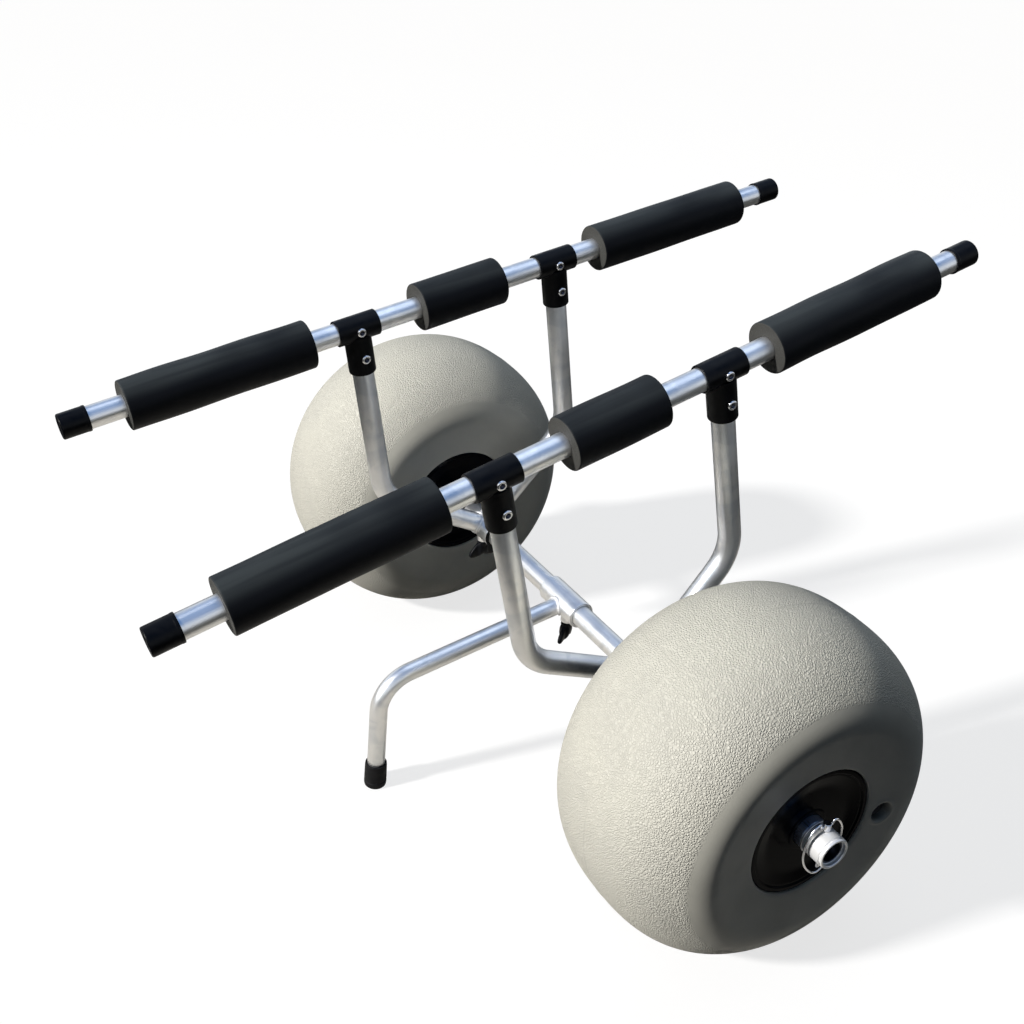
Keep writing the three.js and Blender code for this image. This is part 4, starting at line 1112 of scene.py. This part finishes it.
def wing_knob_shell(top, height, notch):
    """A wing knob that hangs along -Z from z = top, with its wings along Y.

    For each y it has a rounded section with half width t(y) in X and half height h(y) in Z:
    thick at the hub, thin in the wings, and spread downwards like a fan with a notch between
    its tips. The upper edge falls as |y|^1.4 outside the hub, to tips a third as tall.
    """
    half, hub_half, notch_half = 15 * MM, 5 * MM, 5 * MM
    wing_half, hub_extra, tip_lift, boxy = 2.3 * MM, 2.9 * MM, 1.6 * MM, 0.75
    share = np.sin(np.linspace(-np.pi / 2, np.pi / 2, 61))
    y = half * share
    hub = 1 / (1 + (np.abs(y) / hub_half) ** 8)
    t = (wing_half + hub_extra * hub) * (1 - np.abs(share) ** 9) ** 0.5
    outside = np.clip((np.abs(y) - 0.7 * hub_half) / (half - 0.7 * hub_half), 0, 1)
    upper = top - outside**1.4 * height * 0.7
    lower = top - height + notch * np.exp(-((y / notch_half) ** 2)) + np.abs(share) ** 8 * tip_lift
    middle, h = (upper + lower) / 2, (upper - lower) / 2 * (1 - np.abs(share) ** 14) ** 0.5
    around = np.linspace(0, 2 * np.pi, 36, endpoint=False)
    cos, sin = np.cos(around), np.sin(around)
    x = t[:, None] * np.sign(cos) * np.abs(cos) ** boxy
    z = middle[:, None] + h[:, None] * np.sign(sin) * np.abs(sin) ** boxy
    grid = np.stack([x, np.broadcast_to(y[:, None], x.shape), z], -1)
    return shell_from_grid(grid, grid, wrap_rows=False)


def knob_collar_shell(top, depth):
    """The round root of a wing knob, with fine flutes: radius (1 + a cos n u) down the side."""
    radius_above, radius_below, flutes, flute_share = 5.2 * MM, 4.8 * MM, 16, 0.03
    end = -top + depth
    corners = [(-top, 0), (-top, radius_above), (end, radius_below), (end, 0)]
    shell = lathed(corners, 0.8 * MM, 96, closed=False)
    radius = np.hypot(shell.points[:, 1], shell.points[:, 2])
    around = np.arctan2(shell.points[:, 2], shell.points[:, 1])
    on_side = radius > 4 * MM
    shell.points[:, 1:] *= (1 + flute_share * np.cos(flutes * around) * on_side)[:, None]
    return shell.placed(DOWN_Z)


def boss_shell(sleeve):
    """The round boss that takes a wing screw, along -Z from inside the sleeve's wall."""
    bore, radius, end = 3.3 * MM, 6 * MM, sleeve + 5.5 * MM
    corners = [(sleeve - 1.2 * MM, bore), (end, bore), (end, radius), (sleeve - 3.4 * MM, radius)]
    return lathed(corners, np.array([0.1, 0.3, 0.6, 0.1]) * MM, 48).placed(DOWN_Z)


def add_wing_screw(name, place, tip):
    """One wing screw that hangs along the -Z of its place: threaded stud, fluted root and wings."""
    _, sizes, _ = settings()
    top = -(sizes.sleeve_radius + 7.5 * MM)
    stud = thread_shell(tip, end=-top + 6 * MM, radius=3 * MM).placed(DOWN_Z)
    add_piece(f"{name}_wing_stud_thread", f"{name}_wing_stud", "Bright steel", stud.placed(place))
    root = knob_collar_shell(top, depth=8 * MM)
    wings = wing_knob_shell(top - 0.8 * MM, height=17.6 * MM, notch=3.6 * MM)
    add_piece(f"{name}_wing_knob_moulding", f"{name}_wing_knob", "Moulded fitting",
              root.placed(place), wings.placed(place))


def sleeve_shell(sizes, bore, half):
    """A plain sleeve on the axle line, with slightly rounded ends."""
    return ring(-half, half, bore, sizes.sleeve_radius, edge=0.7 * MM, turns=96)


class CART_OT_frames(bpy.types.Operator):
    """Bent saddle frames: two legs welded to a sleeve, with its liner and wing screw"""

    bl_idname = "cart.frames"
    bl_label = "Saddle Frames"

    def execute(self, context):
        wheel, sizes, _ = settings()
        half, sleeve = sizes.frame_sleeve / 2, sizes.sleeve_radius
        leg_top = sizes.bar_rise - sizes.tube_radius - 2.6 * MM
        liner_bore, liner_radius = wheel.axle_radius + CLEARANCE, wheel.axle_radius + 1.3 * MM
        lip, lip_end = half + CLEARANCE, half + CLEARANCE + 2 * MM
        liner = lathed([
            (-lip_end, liner_bore), (lip_end, liner_bore), (lip_end, sleeve), (lip, sleeve),
            (lip, liner_radius), (-lip, liner_radius), (-lip, sleeve), (-lip_end, sleeve),
        ], 0.3 * MM, 72)
        for side in SIDES:
            place = on_saddle(side)
            screw_place = on_axle(place[0, 3])
            tubes, beads = [sleeve_shell(sizes, liner_radius + CLEARANCE, half)], []
            for way in (-1, 1):
                corner = (way * sizes.leg_spread, sizes.leg_corner)
                line = BentLine([(0, 0), corner, (corner[0], leg_top)], sizes.leg_bend)
                tubes.append(bent_tube(line, sizes.tube_radius, sizes.tube_wall, sleeve - BITE))
                beads.append(weld(sleeve, sizes.tube_radius, corner, bead=1.7 * MM).placed(place))
            shells = [t.placed(place) for t in tubes] + [boss_shell(sleeve).placed(screw_place)]
            add_piece(f"{side}_frame_tubes", f"{side}_frame", "Aluminium tube", *shells)
            add_piece(f"{side}_frame_welds", f"{side}_frame", "Weld bead", *beads)
            add_piece(f"{side}_liner_moulding", f"{side}_liner", "Moulded fitting",
                      liner.placed(place))
            add_wing_screw(side, screw_place, liner_radius + CLEARANCE)
        return {"FINISHED"}


class CART_OT_bars(bpy.types.Operator):
    """The two bars and their end caps"""

    bl_idname = "cart.bars"
    bl_label = "Bars and Caps"

    def execute(self, context):
        _, sizes, _ = settings()
        half = sizes.bar_half
        tube = ring(-half, half, sizes.tube_radius - sizes.tube_wall, sizes.tube_radius, TUBE_EDGE)
        bore, start, seat = sizes.tube_radius + CLEARANCE, half - 20.6 * MM, half + CLEARANCE
        end, cuff, cap = seat + 3 * MM, sizes.cap_radius + 0.15 * MM, sizes.cap_radius - 0.1 * MM
        dimple = end - 0.7 * MM
        corners = [
            (seat, 0), (seat, bore), (start, bore), (start, cuff), (start + 2.2 * MM, cuff),
            (start + 3 * MM, cap), (end, cap), (end, 7.4 * MM), (dimple, 6.6 * MM), (dimple, 0),
        ]
        radii = np.array([0, 0.2, 0.3, 0.6, 0.4, 0.4, 1.5, 0.4, 0.4, 0]) * MM
        cap_shell = lathed(corners, radii, 96, closed=False)
        for side in SIDES:
            place = on_saddle(side) @ shift(z=sizes.bar_rise) @ ALONG_Y
            add_piece(f"{side}_bar_tube", f"{side}_bar", "Aluminium tube", tube.placed(place))
            for end_name, way in ENDS.items():
                flip = np.eye(4) if way > 0 else turn(math.pi, "Z")
                add_piece(f"{side}_cap_{end_name}_moulding", f"{side}_cap_{end_name}",
                          "End cap vinyl", cap_shell.placed(place @ flip))
        return {"FINISHED"}


def screw_shell(seat):
    """A domed button head screw along X with a hexagon socket; the mask is 1 inside the socket,
    where the finish paints shade.

    The socket's radius is flat / cos(u - nearest sixth of a turn), so its walls are six flats.
    """
    head, flat, rim, shank = 4.25 * MM, 2.0 * MM, 2.6 * MM, 2 * MM
    under, brim, rise, socket_depth = seat - 7 * MM, 0.7 * MM, 1.1 * MM, 1.7 * MM
    share = np.linspace(0, 1, 8)
    dome = np.stack([seat + brim + rise * np.sin(share * np.pi / 2),
                     head - (head - rim) * (1 - np.cos(share * np.pi / 2))], -1)
    top = dome[-1, 0]
    rows = np.concatenate([
        [(under, 0), (under, shank), (seat, shank), (seat, head)], dome,
        [(top - 0.1 * MM, flat), (top - socket_depth, flat), (top - socket_depth - 0.2 * MM, 0)]])
    around = np.linspace(0, 2 * np.pi, 48, endpoint=False)
    nearest = (around + np.pi / 6) % (np.pi / 3) - np.pi / 6
    # The socket's mask paints shade inside it.
    socket = np.zeros(len(rows))
    socket[-3:-1] = 1.0
    radius = rows[:, 1:2] * (1 + socket[:, None] * (1 / np.cos(nearest) - 1))
    grid = np.stack([np.broadcast_to(rows[:, :1], radius.shape), radius * np.cos(around),
                     radius * np.sin(around)], -1)
    socket[-1] = 1.0
    return shell_from_grid(grid, grid, socket[:, None], wrap_rows=False)


class CART_OT_tees(bpy.types.Operator):
    """Moulded tee fittings with two button head screws each"""

    bl_idname = "cart.tees"
    bl_label = "Tee Fittings"

    def execute(self, context):
        _, sizes, _ = settings()
        barrel, stem, half = 12 * MM, 12.6 * MM, 20.3 * MM
        stem_top, stem_seat, stem_end, leg_screw = -6 * MM, -12.2 * MM, -43.5 * MM, -27 * MM
        bore = sizes.tube_radius + CLEARANCE
        barrel_shell = ring(-half, half, bore, barrel, edge=1.1 * MM, turns=96).placed(ALONG_Y)
        corners = [(stem_seat, 0), (stem_seat, bore), (stem_end, bore), (stem_end, stem),
                   (stem_top, stem), (stem_top, 0)]
        radii = np.array([0, 0.2, 0.4, 1.2, 0.3, 0]) * MM
        stem_shell = lathed(corners, radii, 96, closed=False).placed(ALONG_Z)
        for side in SIDES:
            for end_name, way in ENDS.items():
                place = on_saddle(side) @ shift(0, way * sizes.leg_spread, sizes.bar_rise)
                add_piece(f"{side}_tee_{end_name}_moulding", f"{side}_tee_{end_name}",
                          "Moulded fitting", barrel_shell.placed(place), stem_shell.placed(place))
                for row, seat, drop in (("bar", barrel, 0.0), ("leg", stem, leg_screw)):
                    screw = screw_shell(seat + 0.1 * MM).placed(place @ shift(z=drop))
                    add_piece(f"{side}_{row}_screw_{end_name}_head",
                              f"{side}_{row}_screw_{end_name}", "Bright steel", screw)
        return {"FINISHED"}


def foam_shell(sizes, start, end, seed):
    """A foam sleeve: a soft-edged ring whose skin waves a little, r + a sin(k s + m u + phase)."""
    bore, radius, cut_depth = sizes.tube_radius + 0.15 * MM, sizes.foam_radius, 0.25 * MM
    corners = [(start, bore), (end, bore), (end, radius), (start, radius)]
    profile = rounded(corners, np.array([0.8, 0.8, 1.5, 1.5]) * MM, steps=6)
    skin = [(start + (end - start) * k, radius) for k in np.linspace(0.97, 0.03, 36)]
    cut = np.flatnonzero(profile[:, 0] > (start + end) / 2)[-1] + 1
    profile = np.concatenate([profile[:cut], skin, profile[cut:]])
    near_end = np.minimum(profile[:, 0] - start, end - profile[:, 0])
    shell = revolved(profile, turns=96, mask=near_end < cut_depth)
    rng = np.random.default_rng(seed)
    s, around = shell.points[:, 0], np.arctan2(shell.points[:, 2], shell.points[:, 1])
    radial = np.hypot(shell.points[:, 1], shell.points[:, 2])
    wave = sum(
        rng.uniform(0.05, 0.14) * MM
        * np.sin(rng.uniform(20, 90) * s + m * around + rng.uniform(0, 6.3))
        for m in (0, 1, 2, 3, 4))
    outer = np.clip((radial - bore) / (radius - bore), 0, 1)
    shell.points[:, 1:] *= (1 + wave * outer / radial)[:, None]
    return shell


class CART_OT_foams(bpy.types.Operator):
    """Closed-cell foam sleeves on the bars"""

    bl_idname = "cart.foams"
    bl_label = "Foam Sleeves"

    def execute(self, context):
        _, sizes, _ = settings()
        for i, side in enumerate(SIDES):
            place = on_saddle(side) @ shift(z=sizes.bar_rise) @ ALONG_Y
            back = np.linalg.inv(place)
            for j, part in enumerate(("back", "middle", "front")):
                node = frame["nodes"][f"{side}_foam_{part}"]
                co = np.zeros(len(node.data.vertices) * 3)
                node.data.vertices.foreach_get("co", co)
                along = co.reshape(-1, 3) @ back[0, :3] + back[0, 3]
                shell = foam_shell(sizes, along.min(), along.max(), 7 + 3 * i + j)
                piece = add_piece(f"{side}_foam_{part}_sleeve", f"{side}_foam_{part}",
                                  "Closed-cell foam", shell.placed(place))
        return {"FINISHED"}


class CART_OT_kickstand(bpy.types.Operator):
    """The kickstand: sleeve, bent tube, weld, rubber foot and wing screw"""

    bl_idname = "cart.kickstand"
    bl_label = "Kickstand"

    def execute(self, context):
        wheel, sizes, _ = settings()
        place = on_axle(sizes.kick_x)
        screw_place = place @ shift(5 * MM) @ turn(math.radians(33), "Z")
        corner, ground = (-sizes.kick_back, -sizes.kick_drop), -wheel.tyre_radius
        line = BentLine([(0, 0), corner, (corner[0], ground + 4.3 * MM)], sizes.kick_bend)
        leg = bent_tube(line, sizes.kick_radius, 1.4 * MM, sizes.sleeve_radius - BITE)
        axle_bore = wheel.axle_radius + CLEARANCE
        sleeve = sleeve_shell(sizes, axle_bore, sizes.kick_sleeve / 2)
        boss = boss_shell(sizes.sleeve_radius)
        add_piece("kickstand_tubes", "kickstand", "Aluminium tube", leg.placed(place),
                  sleeve.placed(place), boss.placed(screw_place))
        bead = weld(sizes.sleeve_radius, sizes.kick_radius, corner, bead=1.5 * MM)
        add_piece("kickstand_weld", "kickstand", "Weld bead", bead.placed(place))
        bore, radius, floor, top = sizes.kick_radius + CLEARANCE, 10.4 * MM, 4 * MM, 25 * MM
        groove = radius - 0.7 * MM
        corners = [
            (0, 0), (0, radius - 0.4 * MM), (3 * MM, radius), (5.5 * MM, radius),
            (6.2 * MM, groove), (7 * MM, groove), (7.7 * MM, radius),
            (22 * MM, radius - 0.2 * MM), (top, radius - 0.5 * MM), (top, bore),
            (floor, bore), (floor, 0),
        ]
        radii = np.array([0, 1.2, 0.5, 0.3, 0.3, 0.3, 0.4, 0.5, 0.7, 0.4, 0.2, 0]) * MM
        foot = lathed(corners, radii, 72, closed=False).placed(ALONG_Z)
        foot_place = place @ shift(0, corner[0], ground)
        add_piece("kickstand_foot_moulding", "kickstand_foot", "Black rubber",
                  foot.placed(foot_place))
        add_wing_screw("kickstand", screw_place, axle_bore)
        return {"FINISHED"}


# Studio

# The camera's right, down and ahead directions, its place from the middle of the axle, and its
# focal length, the centre of its lens and the width of its picture in pixels
CAMERA_ROWS = np.array([
    [0.49323335, 0.86679445, 0.07340463],
    [0.42770866, -0.16816779, -0.88813563],
    [-0.75748674, 0.46945391, -0.45368145],
])
CAMERA_PLACE = np.array([0.82808855, -0.61866915, 0.66778869])
FOCAL_PIXELS = 1269.4536
PICTURE_CENTRE = (473.3820, 451.1356)
PICTURE_SIZE = 1024.0


class CART_OT_camera(bpy.types.Operator):
    """The camera, at the angle and distance of the reference view"""

    bl_idname = "cart.camera"
    bl_label = "Camera"

    def execute(self, context):
        data = bpy.data.cameras.new("Studio camera")
        camera = bpy.data.objects.new("Studio camera", data)
        context.scene.collection.objects.link(camera)
        right, down, ahead = CAMERA_ROWS
        turned = np.eye(4)
        turned[:3, 0], turned[:3, 1], turned[:3, 2] = right, -down, -ahead
        turned[:3, 3] = CAMERA_PLACE + [0.0, AXLE_Y, AXLE_Z]
        camera.matrix_world = Matrix(turned.tolist())
        data.sensor_width = 36.0
        data.sensor_fit = "HORIZONTAL"
        data.lens = FOCAL_PIXELS / PICTURE_SIZE * data.sensor_width
        data.shift_x = (PICTURE_SIZE / 2 - PICTURE_CENTRE[0]) / PICTURE_SIZE
        data.shift_y = (PICTURE_CENTRE[1] - PICTURE_SIZE / 2) / PICTURE_SIZE
        data.clip_start, data.clip_end = 0.05, 200.0
        context.scene.camera = camera
        return {"FINISHED"}


def add_light(context, name, kind, energy, tint, place, aim, **options):
    """A lamp at a place, turned towards an aim."""
    data = bpy.data.lights.new(name, kind)
    data.energy, data.color = energy, tint
    for key, value in options.items():
        setattr(data, key, value)
    lamp = bpy.data.objects.new(name, data)
    context.scene.collection.objects.link(lamp)
    ahead = np.array(aim, float) - np.array(place, float)
    rotation = Vector(ahead).to_track_quat("-Z", "Y")
    lamp.matrix_world = Matrix.Translation(place) @ rotation.to_matrix().to_4x4()


class CART_OT_studio(bpy.types.Operator):
    """The pale floor and the soft studio light"""

    bl_idname = "cart.studio"
    bl_label = "Studio"

    def execute(self, context):
        _, _, colours = settings()
        mesh = bpy.data.meshes.new("studio_floor")
        half = 60.0
        corners = [(-half, -half, 0), (half, -half, 0), (half, half, 0), (-half, half, 0)]
        mesh.from_pydata(corners, [], [(0, 1, 2, 3)])
        mesh.materials.append(floor_finish(colours.floor))
        floor = bpy.data.objects.new("studio_floor", mesh)
        context.scene.collection.objects.link(floor)
        context.scene.world = sky_world()
        add_light(context, "Key", "SUN", energy=5.2, tint=(1.0, 0.975, 0.94),
                  place=(-0.9, -8.8, 4.6), aim=(0, 0, 0), angle=math.radians(5))
        add_light(context, "Overhead", "AREA", energy=14.0, tint=(0.86, 0.93, 1.0),
                  place=(-0.3, 0.4, 2.6), aim=(0, 0, 0.2), shape="RECTANGLE", size=2.4, size_y=1.6)
        context.scene.view_settings.view_transform = "Standard"
        return {"FINISHED"}


class CART_PT_panel(bpy.types.Panel):
    """Lists the steps that build the cart"""

    bl_idname = "CART_PT_panel"
    bl_label = "Kayak Cart"
    bl_space_type = "VIEW_3D"
    bl_region_type = "UI"
    bl_category = "Kayak Cart"

    def draw(self, context):
        column = self.layout.column(align=True)
        for step in STEPS:
            column.operator(step.bl_idname)
        for group in ("cart_wheel_sizes", "cart_saddle_sizes", "cart_finishes"):
            box = self.layout.box()
            values = getattr(context.scene, group)
            for name in values.__annotations__:
                box.prop(values, name)


GROUPS = {
    "cart_wheel_sizes": CartWheelSizes,
    "cart_saddle_sizes": CartSaddleSizes,
    "cart_finishes": CartFinishes,
}
STEPS = (
    CART_OT_camera, CART_OT_tyres, CART_OT_hubs, CART_OT_axle, CART_OT_safety_pins, CART_OT_frames,
    CART_OT_bars, CART_OT_tees, CART_OT_foams, CART_OT_kickstand, CART_OT_studio,
)


def register():
    """Registers the classes and puts the settings on the scene."""
    for cls in (*GROUPS.values(), *STEPS, CART_PT_panel):
        bpy.utils.register_class(cls)
    for name, cls in GROUPS.items():
        setattr(bpy.types.Scene, name, PointerProperty(type=cls))


def unregister():
    """Takes the settings and the classes away again."""
    for name in GROUPS:
        delattr(bpy.types.Scene, name)
    for cls in reversed((*GROUPS.values(), *STEPS, CART_PT_panel)):
        bpy.utils.unregister_class(cls)


def main():
    """Builds the cart and its studio."""
    register()
    for step in STEPS:
        group, name = step.bl_idname.split(".")
        getattr(getattr(bpy.ops, group), name)()


if __name__ == "__main__":
    main()
